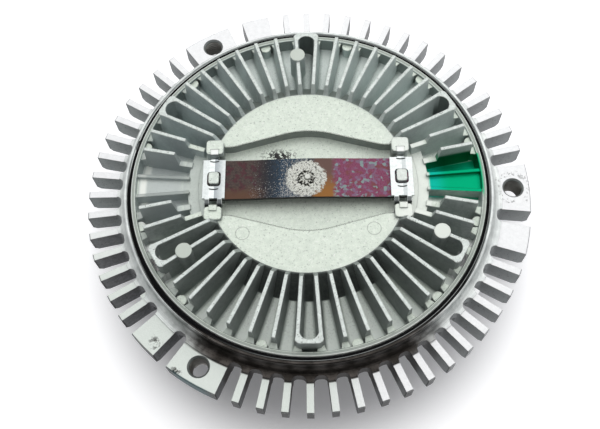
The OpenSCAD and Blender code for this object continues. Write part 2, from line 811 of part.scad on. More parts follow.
module separator_plate() {
    color(steel_colour)
        difference() {
            translate([0, 0, plate_z])
                cylinder(r = plate_r, h = plate_t, $fn = 180);
            translate([0, 0, plate_z - 1])
                linear_extrude(plate_t + 2) {
                    translate([0, valve_y])
                        circle(r = valve_hole_r, $fn = 32);
                    translate([0, valve_rivet_y])
                        circle(r = valve_rivet_r + press_gap, $fn = 32);
                    translate(polar(cavity_foot_r - 2 * return_hole_r, wiper_a))
                        circle(r = return_hole_r, $fn = 32);
                    translate(polar(wiper_mid_r, wiper_a))
                        circle(r = wiper_stud_r + press_gap, $fn = 32);
                    for (i = [0:rivet_n - 1])
                        rotate(i * 360 / rivet_n)
                            translate([rivet_pcr, 0])
                                circle(r = rivet_r + press_gap, $fn = 32);
                }
        }
}

module plate_rivets() {
    color(steel_colour)
        for (i = [0:rivet_n - 1])
            rotate([0, 0, i * 360 / rivet_n])
                translate([rivet_pcr, 0, 0]) {
                    translate([0, 0, plate_z - rivet_head_h])
                        cylinder(r = rivet_head_r, h = rivet_head_h, $fn = 32);
                    translate([0, 0, plate_z - rivet_head_h])
                        cylinder(r = rivet_r, h = rivet_head_h + plate_t + rivet_l - seat_gap, $fn = 32);
                }
}

// Flap that rocks on its tail: a strip with a round pad over the valve hole
// Leaf over the valve hole, which turns about its rolled tail
roll_r = lever_t / 2 + 0.12;
roll_z = lever_z + roll_r - running_gap / 2;
module valve_lever() {
    color(steel_colour) {
        translate([-lever_w / 2, -lever_tail, roll_z])
            rotate([0, 90, 0])
                cylinder(r = roll_r, h = lever_w, $fn = 48);
        translate([0, 0, lever_z])
            linear_extrude(lever_t)
                difference() {
                    union() {
                        translate([-lever_w / 2, -lever_tail])
                            square([lever_w, lever_tail + valve_y]);
                        translate([0, valve_y])
                            circle(r = valve_hole_r + 2, $fn = 48);
                    }
                    translate([0, valve_rivet_y])
                        circle(r = valve_rivet_r + loose_gap, $fn = 32);
                }
    }
}

module valve_rivet() {
    head_r = 2.2;
    head_h = 0.7;
    color(steel_colour)
        translate([0, valve_rivet_y, 0]) {
            translate([0, 0, plate_z])
                cylinder(r = valve_rivet_r, h = plate_t + lever_t + air_gap + head_h, $fn = 32);
            translate([0, 0, lever_top_z + air_gap - running_gap])
                cylinder(r = head_r, h = head_h, $fn = 32);
        }
}

module pump_wiper() {
    wiper_h = 6;
    wiper_span = 10;
    color([0.15, 0.13, 0.10]) {
        rotate([0, 0, wiper_a - wiper_span / 2])
            rotate_extrude(angle = wiper_span, $fn = 180)
                translate([wiper_in_r, plate_z - wiper_h])
                    square([wiper_out_r - wiper_in_r, wiper_h]);
        rotate([0, 0, wiper_a])
            translate([wiper_mid_r, 0, plate_z - wiper_h / 2])
                cylinder(r = wiper_stud_r, h = wiper_h / 2 + plate_t - seat_gap, $fn = 32);
    }
}

// Clutch disc, nut and shaft
disc_hub_r = hub_open_r - 5;
nut_seat_z = disc_low_z + disc_t - 1;
nut_end_z = nut_seat_z + nut_h;
rib_zone_r = disc_r - 3 * rib_pitch - disc_rib_t;

module clutch_disc() {
    web_t = disc_t + 1;
    ribs = [for (i = [3:-1:0], p = [[1, 1], [1, 0], [0, 0], [0, 1]])
        [disc_r - i * rib_pitch - p[0] * disc_rib_t, disc_low_z + p[1] * rib_h]];
    color(cast_colour)
        difference() {
            rotate_extrude($fn = 180)
                polygon(concat(
                    [[spigot_r + press_gap, bearing_top_z], [disc_hub_r, bearing_top_z],
                     [disc_hub_r, disc_low_z], [rib_zone_r - rib_pitch, disc_low_z],
                     [rib_zone_r - rib_pitch / 2, disc_face_z]],
                    ribs,
                    [[disc_r, disc_top_z], [rib_zone_r - rib_pitch, disc_top_z],
                     [rib_zone_r - 2 * rib_pitch, disc_low_z + web_t],
                     [disc_hub_r + 6, disc_low_z + web_t], [disc_hub_r + 4, nut_seat_z],
                     [spigot_r + press_gap, nut_seat_z]]));
            for (a = [45:90:315])
                rotate([0, 0, a])
                    translate([(disc_hub_r + rib_zone_r) / 2, 0, disc_low_z - 1])
                        cylinder(r = 3, h = web_t + 2, $fn = 32);
        }
}

module disc_nut() {
    nut_r = spigot_r + 4.5;
    color(steel_colour)
        translate([0, 0, nut_seat_z])
            difference() {
                cylinder(r = nut_r, h = nut_h, $fn = 6);
                translate([0, 0, -1])
                    cylinder(r = spigot_r + running_gap, h = nut_h + 2, $fn = 48);
            }
}

module drive_shaft() {
    neck_r = bearing_bore_r + 2.7;
    drill_tip = shaft_hole_r * 0.6;
    mouth = 1;
    color(steel_colour)
        difference() {
            rotate_extrude($fn = 96)
                polygon([[0, 0], [flange_r - edge, 0], [flange_r, edge], [flange_r, flange_t - edge],
                         [flange_r - edge, flange_t], [neck_r + 2, flange_t], [neck_r, flange_t + 2],
                         [neck_r, bearing_z], [bearing_bore_r - press_gap, bearing_z],
                         [bearing_bore_r - press_gap, bearing_top_z], [spigot_r, bearing_top_z],
                         [spigot_r, nut_end_z + edge], [spigot_r - edge, nut_end_z + 2 * edge],
                         [0, nut_end_z + 2 * edge]]);
            translate([0, 0, -1])
                cylinder(r = shaft_hole_r, h = shaft_hole_l + 1, $fn = 48);
            translate([0, 0, shaft_hole_l])
                cylinder(r1 = shaft_hole_r, r2 = 0, h = drill_tip, $fn = 48);
            translate([0, 0, -mouth])
                cylinder(r1 = shaft_hole_r + 2 * mouth, r2 = shaft_hole_r, h = 2 * mouth, $fn = 48);
        }
}

// Bearing
bearing_r = bearing_bore_r + bearing_section;
ball_pcr = bearing_bore_r + bearing_section / 2;
ball_z = bearing_z + bearing_w / 2;
ball_gap = 0.1;
race_r = ball_r + ball_gap;
inner_land_r = ball_pcr - ball_r * 0.6;
outer_land_r = ball_pcr + ball_r * 0.6;
shield_t = 0.6;
shield_inset = 0.5;
shield_seat = 1;

module race_ring(r_in, r_out) {
    difference() {
        flat_ring(r_in, r_out, bearing_z, bearing_w, $fn = 96);
        rotate_extrude($fn = 96)
            translate([ball_pcr, ball_z])
                circle(r = race_r, $fn = 48);
    }
}

module bearing_outer_ring() {
    color(steel_colour)
        difference() {
            race_ring(outer_land_r, bearing_r);
            for (z = [bearing_z + shield_inset, bearing_z + bearing_w - shield_inset - shield_t])
                translate([0, 0, z])
                    cylinder(r = outer_land_r + shield_seat, h = shield_t, $fn = 96);
        }
}

module bearing_inner_ring() {
    color(steel_colour)
        race_ring(bearing_bore_r, inner_land_r);
}

module bearing_balls() {
    color(steel_colour)
        for (i = [0:ball_n - 1])
            rotate([0, 0, i * 360 / ball_n])
                translate([ball_pcr, 0, ball_z])
                    sphere(r = ball_r, $fn = 48);
}

module bearing_cage() {
    cage_half = ball_r * 0.35;
    cage_h = 2 * race_r + 1.6;
    color([0.70, 0.60, 0.35])
        difference() {
            flat_ring(ball_pcr - cage_half, ball_pcr + cage_half, ball_z - cage_h / 2, cage_h, $fn = 96);
            for (i = [0:ball_n - 1])
                rotate([0, 0, i * 360 / ball_n])
                    translate([ball_pcr, 0, ball_z])
                        sphere(r = race_r, $fn = 48);
        }
}

module bearing_shield(z) {
    color(steel_colour)
        flat_ring(inner_land_r + 0.4, outer_land_r + shield_seat - press_gap, z, shield_t, $fn = 96);
}

module bearing_front_shield() {
    bearing_shield(bearing_z + bearing_w - shield_inset - shield_t);
}

module bearing_rear_shield() {
    bearing_shield(bearing_z + shield_inset);
}

// Snap ring behind the bearing, with two eyes beside its gap
module bearing_circlip() {
    ring_in_r = pocket_r - 1.6;
    gap_a = 14;
    eye_r = 1.7;
    eye_hole_r = 0.8;
    eye_x = ring_in_r - eye_r / 2;
    color(steel_colour)
        translate([0, 0, bearing_z - circlip_t])
            linear_extrude(circlip_t)
                difference() {
                    union() {
                        difference() {
                            circle(r = circlip_groove_r - seat_gap, $fn = 96);
                            circle(r = ring_in_r, $fn = 96);
                            polygon([[0, 0], polar(2 * pocket_r, -gap_a), polar(2 * pocket_r, gap_a)]);
                        }
                        for (a = [-gap_a, gap_a])
                            translate(polar(eye_x, a))
                                circle(r = eye_r, $fn = 32);
                    }
                    for (a = [-gap_a, gap_a])
                        translate(polar(eye_x, a))
                            circle(r = eye_hole_r, $fn = 32);
                }
}

rear_housing();
front_cover();
cover_seal();
cover_retaining_ring();
bimetal_strip();
strip_clip_left();
strip_clip_right();
control_pin();
pin_seal();
separator_plate();
plate_rivets();
valve_lever();
valve_rivet();
pump_wiper();
clutch_disc();
disc_nut();
drive_shaft();
bearing_outer_ring();
bearing_inner_ring();
bearing_balls();
bearing_cage();
bearing_front_shield();
bearing_rear_shield();
bearing_circlip();
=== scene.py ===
# %% [markdown]
# # A viscous fan clutch
# A fan clutch sits between an engine's pulley and its cooling fan. The shaft drives a ribbed disc inside a
# finned aluminium housing, and silicone fluid between the ribs drags the housing and the fan round.
# A bimetal strip across the front bows as the air behind the radiator warms, and lets more fluid in.
# The CAD frame gives every piece its place and its motion. This notebook gives the pieces their finishes,
# and makes the few pieces whose surface is too uneven for CAD.

import math

import bmesh
import bpy
from mathutils import Matrix, Vector, noise


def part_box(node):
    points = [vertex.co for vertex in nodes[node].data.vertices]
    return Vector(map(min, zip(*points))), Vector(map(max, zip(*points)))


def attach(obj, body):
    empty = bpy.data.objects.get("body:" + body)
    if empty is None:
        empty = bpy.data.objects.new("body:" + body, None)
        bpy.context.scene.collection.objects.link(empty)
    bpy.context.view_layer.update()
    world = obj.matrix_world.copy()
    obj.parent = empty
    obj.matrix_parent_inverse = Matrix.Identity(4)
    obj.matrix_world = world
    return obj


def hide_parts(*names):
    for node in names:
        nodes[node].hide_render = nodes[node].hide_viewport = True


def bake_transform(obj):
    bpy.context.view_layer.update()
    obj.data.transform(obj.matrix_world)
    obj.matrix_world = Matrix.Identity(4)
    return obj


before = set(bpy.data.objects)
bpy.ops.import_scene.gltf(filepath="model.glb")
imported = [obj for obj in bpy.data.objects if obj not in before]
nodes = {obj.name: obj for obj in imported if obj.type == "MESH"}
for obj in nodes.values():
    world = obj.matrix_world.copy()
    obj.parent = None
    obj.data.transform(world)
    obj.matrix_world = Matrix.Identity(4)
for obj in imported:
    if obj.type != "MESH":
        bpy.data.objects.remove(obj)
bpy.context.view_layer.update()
MM = 0.001
scene = bpy.context.scene
scene.view_settings.view_transform = "Standard"

# %% [markdown]
# ## The camera
# The photograph looks down at about 66 degrees from close by, so the far side of the clutch is drawn smaller
# than the near side. Circles of known radius on the clutch gave the distance, the height, a small roll and
# the lens. Those are written here as they were solved, about the top face of the housing fins.

# %% Place the camera
FAN_FACE = 45.2 * MM
FOCAL_PX = 812.33
WIDTH_PX = 600
SENSOR_MM = 36
ELEVATION = math.radians(65.545)
ROLL = math.radians(-3.655)
TURN = Matrix.Rotation(math.radians(3.0), 3, "Z")
DISTANCE = 313.235 * MM
ASIDE, ABOVE = 3.142 * MM, 9.027 * MM


def add_object(name, data):
    made = bpy.data.objects.new(name, data)
    scene.collection.objects.link(made)
    return made


forward = Vector((0, math.cos(ELEVATION), -math.sin(ELEVATION)))
level = Vector((1, 0, 0))
upright = level.cross(forward)
rightward = math.cos(ROLL) * level + math.sin(ROLL) * upright
upward = math.cos(ROLL) * upright - math.sin(ROLL) * level
eye = -forward * DISTANCE - rightward * ASIDE - upward * ABOVE
turned = TURN @ Matrix((rightward, upward, -forward)).transposed()

camera_data = bpy.data.cameras.new("camera")
camera_data.sensor_width = SENSOR_MM
camera_data.lens = SENSOR_MM * FOCAL_PX / WIDTH_PX
camera_data.clip_start = 0.01
camera = add_object("camera", camera_data)
camera.matrix_world = Matrix.Translation(TURN @ eye + Vector((0, 0, FAN_FACE))) @ turned.to_4x4()
scene.camera = camera
print("camera at", [round(v / MM, 1) for v in camera.matrix_world.translation], "mm")

# %% [markdown]
# ## Nodes made by name
# Every finish below is a net of shader nodes, and a net is easier to read as a few words than as boxes and
# wires. Fill sets sockets or wires them, put adds a node, and calc, times and most do arithmetic. Mix lays
# one colour over another by a share, and tint turns an 8-bit colour into the linear values shaders use.


# %% Helpers for node nets
def fill(tree, made, values):
    for key, value in values.items():
        socket = made.inputs[key]
        if isinstance(value, bpy.types.NodeSocket):
            tree.links.new(value, socket)
        else:
            socket.default_value = value


def put(tree, kind, values=None, **settings):
    made = tree.nodes.new("ShaderNode" + kind)
    for key, value in settings.items():
        setattr(made, key, value)
    fill(tree, made, values or {})
    return made


def calc(tree, operation, a, b=0.0, c=0.0, clamp=False):
    return put(tree, "Math", {0: a, 1: b, 2: c}, operation=operation, use_clamp=clamp).outputs[0]


def times(tree, first, *others):
    for other in others:
        first = calc(tree, "MULTIPLY", first, other)
    return first


def most(tree, first, *others):
    for other in others:
        first = calc(tree, "MAXIMUM", first, other)
    return first


def mix(tree, share, first, second):
    return put(tree, "Mix", {0: share, 6: first, 7: second}, data_type="RGBA").outputs[2]


def tint(*eight_bit):
    shares = [v / 255 for v in eight_bit]
    linear = [v / 12.92 if v <= 0.04045 else ((v + 0.055) / 1.055) ** 2.4 for v in shares]
    return (*linear, 1.0)


# %% [markdown]
# ## Masks by place
# A mask says how much of a finish lies at a point, from 0 to 1. Between rises softly from one value to
# another, and inside is a soft-edged band. Both take a length, an angle or another mask. Apart is the
# distance from a centre in plan. Speckle is the noise that makes surfaces uneven, mostly read in the piece's
# own coordinates so that it moves with the piece.


# %% Helpers for masks
def between(tree, value, low, high, start=0.0, end=1.0):
    sockets = {"Value": value, "From Min": low, "From Max": high, "To Min": start, "To Max": end}
    return put(tree, "MapRange", sockets, interpolation_type="SMOOTHSTEP").outputs[0]


def inside(tree, value, low, high, soft):
    rise = between(tree, value, low - soft, low + soft)
    return times(tree, rise, between(tree, value, high - soft, high + soft, 1.0, 0.0))


def split(tree, vector):
    return put(tree, "SeparateXYZ", {0: vector}).outputs


def hypotenuse(tree, a, b):
    return calc(tree, "SQRT", calc(tree, "MULTIPLY_ADD", a, a, times(tree, b, b)))


def apart(tree, x, y, centre):
    return hypotenuse(tree, calc(tree, "SUBTRACT", x, centre[0]), calc(tree, "SUBTRACT", y, centre[1]))


def own_place(tree):
    return put(tree, "TexCoord").outputs["Object"]


def speckle(tree, place, scale, detail, roughness=0.5):
    sockets = {"Vector": place, "Scale": scale, "Detail": detail, "Roughness": roughness}
    return put(tree, "TexNoise", sockets).outputs[0]


# %% [markdown]
# ## Groups and materials
# An effect that several finishes share is a node group with named inputs and outputs. A material starts from
# the Principled shader, with the values that don't change over the surface set on the shader itself.


# %% Helpers for groups and materials
def new_group(name, inputs, outputs):
    tree = bpy.data.node_groups.new(name, "ShaderNodeTree")
    for label, value in inputs.items():
        socket = tree.interface.new_socket(label, in_out="INPUT", socket_type="NodeSocketFloat")
        socket.default_value = value
    for label in outputs:
        kind = "NodeSocketVector" if label == "Normal" else "NodeSocketFloat"
        tree.interface.new_socket(label, in_out="OUTPUT", socket_type=kind)
    return tree, tree.nodes.new("NodeGroupInput"), tree.nodes.new("NodeGroupOutput")


def use(tree, group, values=None):
    return put(tree, "Group", values, node_tree=group).outputs


def new_material(name, roughness=0.5, metallic=0.0, specular=0.5):
    material = bpy.data.materials.new(name)
    material.use_nodes = True
    net = material.node_tree
    shader = net.nodes["Principled BSDF"]
    fill(net, shader, {"Roughness": roughness, "Metallic": metallic, "Specular IOR Level": specular})
    return material, net, shader


def bump(tree, shader, height, normal, distance):
    sockets = {"Height": height, "Normal": normal, "Distance": distance, "Strength": 1.0}
    fill(tree, shader, {"Normal": put(tree, "Bump", sockets).outputs[0]})


def coat(material, *names):
    for name in names:
        target = nodes[name].data
        target.materials.clear()
        target.materials.append(material)


# %% [markdown]
# ## Light and floor
# The photograph was taken on white under a broad light above and behind the clutch, so level faces are pale
# and the faces turned to the camera are dark. A wide soft panel stands in for that light, with a smaller one
# at the right. The surround is white to the camera and to mirrors, and lends only a little light to the rest.


# %% Light the scene
def share_seen(tree):
    path = put(tree, "LightPath")
    total = calc(tree, "ADD", path.outputs["Is Camera Ray"], path.outputs["Is Glossy Ray"])
    return calc(tree, "ADD", total, path.outputs["Is Transmission Ray"], clamp=True)


def soft_panel(name, place, aim, size, watts):
    data = bpy.data.lights.new(name, "AREA")
    data.shape = "DISK"
    data.size = size
    data.energy = watts
    panel = add_object(name, data)
    panel.location = place
    panel.rotation_euler = (Vector(aim) - Vector(place)).to_track_quat("-Z", "Y").to_euler()


WHITE = (1, 1, 1, 1)
AMBIENT = 0.34
AIM = (0, 0, 0.05)
world = bpy.data.worlds.new("surround")
scene.world = world
world.use_nodes = True
air = world.node_tree
strength = between(air, share_seen(air), 0.0, 1.0, AMBIENT, 1.0)
fill(air, air.nodes["Background"], {"Color": WHITE, "Strength": strength})
soft_panel("panel_above", (0.1, 0.5, 1.0), AIM, size=1.7, watts=6.0)
soft_panel("panel_side", (0.9, 0.1, 0.7), AIM, size=0.7, watts=1.0)

# %% [markdown]
# ## The floor
# The floor is a pale sheet with a painted glow that is weak near the clutch and strong away from it, so that
# it fades to white like a studio's backdrop, and the weak glow paints a zone of shade round the clutch on top
# of its real shadow. Only the camera and mirrors see the glow, so it doesn't light the clutch from below.

# %% Lay the floor
FLOOR_HALF = 2.5
FLOOR_TINT = (0.845, 0.85, 0.88, 1)
GLOW_REACH, GLOW_LEVEL = (0.072, 0.104), (0.06, 0.68)


def to_mesh(name, shape):
    mesh = bpy.data.meshes.new(name)
    shape.to_mesh(mesh)
    shape.free()
    return mesh


shape = bmesh.new()
bmesh.ops.create_grid(shape, x_segments=1, y_segments=1, size=FLOOR_HALF)
floor = add_object("floor", to_mesh("floor", shape))
floor_paint, net, shader = new_material("floor_white", roughness=0.8)
outward = put(net, "VectorMath", {0: own_place(net)}, operation="LENGTH").outputs["Value"]
# Painted glow: low near the clutch, which paints shade round it, and high further out.
glow = times(net, share_seen(net), between(net, outward, *GLOW_REACH, *GLOW_LEVEL))
fill(net, shader, {"Base Color": FLOOR_TINT, "Emission Color": WHITE, "Emission Strength": glow})
floor.data.materials.append(floor_paint)
print("floor is", 2 * FLOOR_HALF, "m wide")

# %% [markdown]
# ## The dark card
# White all round would make the near faces mirror white, but they are dark on the photograph. A studio sets
# up a black flag for that. This one stands behind the camera, and it is hidden from the camera, from shadows
# and from soft light, so that only mirrors find it.

# %% Set up the dark card
CARD_HALF_W, CARD_H = 0.7, 0.42
CARD_FOOT_Y, CARD_TOP_Y = -0.5, -0.42

shape = bmesh.new()
corners = [
    shape.verts.new((-CARD_HALF_W, CARD_FOOT_Y, 0.0)),
    shape.verts.new((CARD_HALF_W, CARD_FOOT_Y, 0.0)),
    shape.verts.new((CARD_HALF_W, CARD_TOP_Y, CARD_H)),
    shape.verts.new((-CARD_HALF_W, CARD_TOP_Y, CARD_H)),
]
shape.faces.new(corners)
card = add_object("dark_card", to_mesh("dark_card", shape))
card.visible_camera = False
card.visible_shadow = False
card.visible_diffuse = False
card_paint, net, shader = new_material("card_black", roughness=0.9)
fill(net, shader, {"Base Color": (0.02, 0.02, 0.02, 1)})
card.data.materials.append(card_paint)
print("stage:", floor.name, card.name)

# %% [markdown]
# ## Grain of a casting
# Casting and blasting leave a fine grain on aluminium. The effect is a group because nearly every finish
# uses it, with a size that each of them can set. It gives a height for bumps, a mottled tone, dark specks,
# bright glints and the fine noise itself.

# %% The grain group
FINE_GRAIN, BROAD_GRAIN = 2400.0, 620.0
grain, enter, leave = new_group("cast_grain", {"Size": 1.0}, ["Height", "Tone", "Specks", "Glints", "Fine"])
place = own_place(grain)
finer = calc(grain, "DIVIDE", FINE_GRAIN, enter.outputs["Size"])
coarser = calc(grain, "DIVIDE", BROAD_GRAIN, enter.outputs["Size"])
fine = speckle(grain, place, finer, 2.0, 0.6)
broad = speckle(grain, place, coarser, 3.0, 0.55)
dots = speckle(grain, place, times(grain, finer, 0.6), 1.0)
mottle = calc(grain, "MULTIPLY_ADD", broad, 0.6, times(grain, fine, 0.4))
grain_looks = {
    "Height": calc(grain, "MULTIPLY_ADD", fine, 0.65, times(grain, broad, 0.35)),
    "Tone": between(grain, mottle, 0.3, 0.7),
    "Specks": between(grain, dots, 0.64, 0.72),
    "Glints": between(grain, dots, 0.34, 0.27),
    "Fine": fine,
}
fill(grain, leave, grain_looks)
print("grain gives", list(grain_looks))

# %% [markdown]
# ## Edges and slopes
# Castings are round-edged and their edges wear bright, and the finishes below paint edges bright as wear and
# as a painted highlight together. Rounding every edge of the mesh would cost many faces, so the Bevel node
# softens the normal instead. An edge is near where that differs from the face's own normal.
# The group also tells level faces from steep ones, and which way a rounded edge leans.

# %% The edge group
edges, enter, leave = new_group("edge_break", {"Radius": 0.3 * MM}, ["Normal", "Edge", "Up", "Lean"])
rounded = put(edges, "Bevel", {"Radius": enter.outputs["Radius"]}, samples=4).outputs[0]
facing = put(edges, "NewGeometry").outputs["Normal"]
along = put(edges, "VectorMath", {0: rounded, 1: facing}, operation="DOT_PRODUCT").outputs["Value"]
to_object = {"vector_type": "NORMAL", "convert_from": "WORLD", "convert_to": "OBJECT"}
leaning = put(edges, "VectorTransform", {0: rounded}, **to_object).outputs[0]
edge_looks = {
    "Normal": rounded,
    "Edge": between(edges, along, 0.995, 0.85),
    "Up": between(edges, split(edges, facing)[2], 0.55, 0.95),
    "Lean": split(edges, leaning)[1],
}
fill(edges, leave, edge_looks)
print("edges give", list(edge_looks))

# %% [markdown]
# ## Places about the shaft
# Most marks on a turned part follow its circles. This group turns the place of a point on its piece into a
# radius and a height in millimetres and an angle in degrees, and passes on the plain X and Y.

# %% The polar group
polar, _, leave = new_group("polar_place", {}, ["Radius", "Angle", "Height", "X", "Y"])
in_mm = put(polar, "VectorMath", {0: own_place(polar), 1: (1 / MM,) * 3}, operation="MULTIPLY").outputs[0]
x, y, z = split(polar, in_mm)
angle = times(polar, calc(polar, "ARCTAN2", y, x), 180 / math.pi)
fill(polar, leave, {"Radius": hypotenuse(polar, x, y), "Angle": angle, "Height": z, "X": x, "Y": y})
print("groups:", [g.name for g in bpy.data.node_groups])

# %% [markdown]
# ## The front cover
# The cover is a cast and blasted aluminium piece. Its level faces are pale with a green-grey cast, and its
# steep faces are darker, partly the skin of the mould and partly painted shade of faces turned from the
# light.
# One texture could be painted for all of it, but masks by place and slope stay sharp at any size. The steep
# faces' tone drifts from side to side, as on the photograph: painted shade darkens the near side, and painted
# light lifts the upper left and the far right.


# %% Cast faces of the cover
def lay(tree, under, share, *eight_bit):
    return mix(tree, share, under, tint(*eight_bit))


def where(tree, *labels):
    spot = use(tree, polar)
    return [spot[label] for label in labels]


cover_paint, net, shader = new_material("cover_cast", roughness=0.5, metallic=0.35)
sand = use(net, grain)
brk = use(net, edges, {"Radius": 0.2 * MM})
x, y, radius, angle, height = where(net, "X", "Y", "Radius", "Angle", "Height")
up, tone = brk["Up"], sand["Tone"]
pale = mix(net, tone, tint(213, 223, 211), tint(232, 241, 229))
pale = lay(net, pale, times(net, sand["Specks"], 0.5), 140, 146, 140)
# Painted highlight: bright glints on the level faces.
pale = lay(net, pale, times(net, sand["Glints"], 0.8), 246, 248, 244)
# Steep faces: the mould's skin with painted shade, random blotches, then painted shade at the near side and
# painted light at the upper left and far right.
skin_and_shade = mix(net, tone, tint(153, 162, 160), tint(192, 200, 197))
blotch = speckle(net, own_place(net), 95.0, 2.0)
skin_and_shade = lay(net, skin_and_shade, between(net, blotch, 0.5, 0.7, 0.0, 0.6), 212, 220, 216)
skin_and_shade = lay(net, skin_and_shade, between(net, y, 0.0, -40.0, 0.0, 0.6), 112, 119, 116)
lit_upper_left = times(net, between(net, x, -5.0, -45.0, 0.0, 0.4), between(net, y, -2.0, 14.0))
skin_and_shade = lay(net, skin_and_shade, lit_upper_left, 214, 227, 230)
lit_far_right = between(net, calc(net, "MULTIPLY_ADD", x, 0.6, y), 15.0, 65.0, 0.0, 0.7)
skin_and_shade = lay(net, skin_and_shade, lit_far_right, 226, 236, 234)
colour = mix(net, between(net, up, 0.3, 0.9), skin_and_shade, pale)
print("cover: cast faces, nodes so far:", len(net.nodes))

# %% [markdown]
# ## Floor between the fins
# The floor of the trough is pale and a little pitted. Painted light lifts it towards the rim and at the near
# side, painted shade darkens it at the far side and in the corner beside each fin's foot, and a painted
# highlight brightens the middle between two fins. Angle folded into half a pitch says how far a point is from
# the nearest fin, so one mask serves all the fins. Painted shade darkens the wall under the rim at the far
# side, and the wells inside the closed pairs of fins, because little light gets into them.

# %% Trough, feet and wells of the cover
FINS, CLOSED_PAIRS = 48, 6
HALF_PITCH, HALF_STEP = 180 / FINS, 180 / CLOSED_PAIRS
FOOT_HALF_W = 1.45
TROUGH_TOP = 49.0
RIM_WALL, WELL = (63.8, 66.2), (59.0, 64.6)

trough = times(net, between(net, height, TROUGH_TOP + 0.5, TROUGH_TOP), up)
# Painted light: the trough is paler towards the rim and at the near side; painted shade at the far side.
rim_side_light = between(net, radius, 60.0, 65.0, 0.0, 0.6)
colour = lay(net, colour, times(net, trough, rim_side_light), 246, 252, 246)
near_side = between(net, y, -38.0, -50.0, 0.0, 0.7)
colour = lay(net, colour, times(net, trough, near_side), 246, 255, 246)
far_side = between(net, y, 0.0, 40.0, 0.0, 0.5)
colour = lay(net, colour, times(net, trough, far_side), 222, 231, 232)
pits = times(net, between(net, sand["Fine"], 0.54, 0.66), between(net, radius, 63.0, 57.0, 0.1, 0.5))
colour = lay(net, colour, times(net, trough, pits), 96, 102, 98)

# Painted shade in the corner by each fin's foot, and a painted highlight in the middle of each gap.
sideways = times(net, calc(net, "PINGPONG", angle, HALF_PITCH), radius, math.pi / 180)
half_gap = calc(net, "MULTIPLY_ADD", radius, math.tan(math.radians(HALF_PITCH)), -FOOT_HALF_W)
to_foot = calc(net, "SUBTRACT", half_gap, sideways)
foot_shade = times(net, trough, between(net, to_foot, 1.2, 0.1, 0.0, 0.75))
colour = mix(net, foot_shade, colour, lay(net, skin_and_shade, 0.5, 92, 99, 96))
gap_highlight = times(net, trough, between(net, to_foot, 0.7, 1.6, 0.0, 0.4))
colour = lay(net, colour, gap_highlight, 250, 255, 252)

steep = between(net, up, 0.4, 0.1)
# Painted shade on the rim's wall at the far side and in the wells.
rim_wall = times(net, inside(net, radius, *RIM_WALL, 0.2), steep, between(net, y, 0.0, 25.0, 0.0, 0.7))
colour = lay(net, colour, rim_wall, 104, 112, 109)
from_pair = calc(net, "PINGPONG", calc(net, "SUBTRACT", angle, HALF_STEP), HALF_STEP)
well = times(net, between(net, from_pair, 2.9, 2.5), inside(net, radius, *WELL, 0.5), steep)
well = times(net, well, between(net, y, 10.0, 20.0), between(net, x, -30.0, 0.0, 0.4, 0.85))
colour = lay(net, colour, well, 70, 77, 74)
print("cover: trough of", FINS, "fins, nodes so far:", len(net.nodes))

# %% [markdown]
# ## Recess, rim and slope
# The walls of the recess and the slope of the raised middle face away from the light, so painted shade
# darkens them, and the slope gets painted light at the far side. The rim's edge gets a painted highlight at
# the near and left sides, with a step of painted shade inside it. All of these are rings, so a band of radius
# picks each one out, and the slope of the face keeps it off its neighbours.

# %% Recess, rim and slope of the cover
PLATEAU_R, CONE_FOOT_R = 37.6, 45.2
RIM_STEP, RIM_EDGE = (65.6, 66.5), (66.4, 66.6)
RECESS_WALL = (50.9, 55.2)

# Painted shade on the walls of the recess.
recess_wall = times(net, inside(net, height, *RECESS_WALL, 0.1), between(net, up, 0.5, 0.1))
recess_wall = times(net, recess_wall, between(net, radius, PLATEAU_R - 0.4, PLATEAU_R - 1.0))
colour = lay(net, colour, times(net, recess_wall, 0.6), 104, 110, 104)
# Painted highlight on the rim's edge, and painted shade on the step inside it.
highlit_side = most(net, between(net, y, -30.0, -62.0), between(net, x, -30.0, -55.0))
rim_edge = times(net, between(net, radius, *RIM_EDGE), highlit_side, 0.9)
colour = lay(net, colour, rim_edge, 240, 245, 240)
rim_step = times(net, inside(net, radius, *RIM_STEP, 0.1), up, 0.8)
colour = lay(net, colour, rim_step, 138, 145, 140)
# Painted shade on the slope, lighter at the far side.
slope = times(net, inside(net, radius, PLATEAU_R, CONE_FOOT_R, 0.3), inside(net, up, 0.12, 0.5, 0.1))
shade = mix(net, tone, tint(72, 78, 75), tint(98, 104, 100))
shade = lay(net, shade, between(net, y, 0.0, 30.0), 150, 157, 151)
colour = mix(net, slope, colour, shade)
print("cover: recess, rim and slope, nodes so far:", len(net.nodes))

# %% [markdown]
# ## Pockets beside the strip
# Left and right of the strip, open pockets take the place of the fins. The left one is cool and grey with a
# painted highlight in the hollow at the rim. Level faces at the foot of the left seat are grey, and those by
# the right seat are brightened with painted light. Short stubs at the outer ends of the fins are greyer than
# the fins, and two notches at the lower left and lower right get painted highlights.

# %% Pockets and stubs of the cover
POCKET_END_R, POCKET_HALF_W = 64.6, 16.0
SEAT_FOOT, HOLLOW, NOTCH = (38.0, 47.4), (61.6, 64.2), (61.5, 65.8)
STUB_TOPS = (52.2, 52.5)
NOTCH_ANGLES = ((-35.0, -21.0), (-159.0, -145.0))

pocket = inside(net, radius, PLATEAU_R, POCKET_END_R, 0.3)
pocket = times(net, pocket, inside(net, y, -POCKET_HALF_W, POCKET_HALF_W, 2.0))
left_pocket = times(net, pocket, between(net, x, -44.0, -50.0))
colour = lay(net, colour, times(net, left_pocket, 0.75), 184, 191, 192)
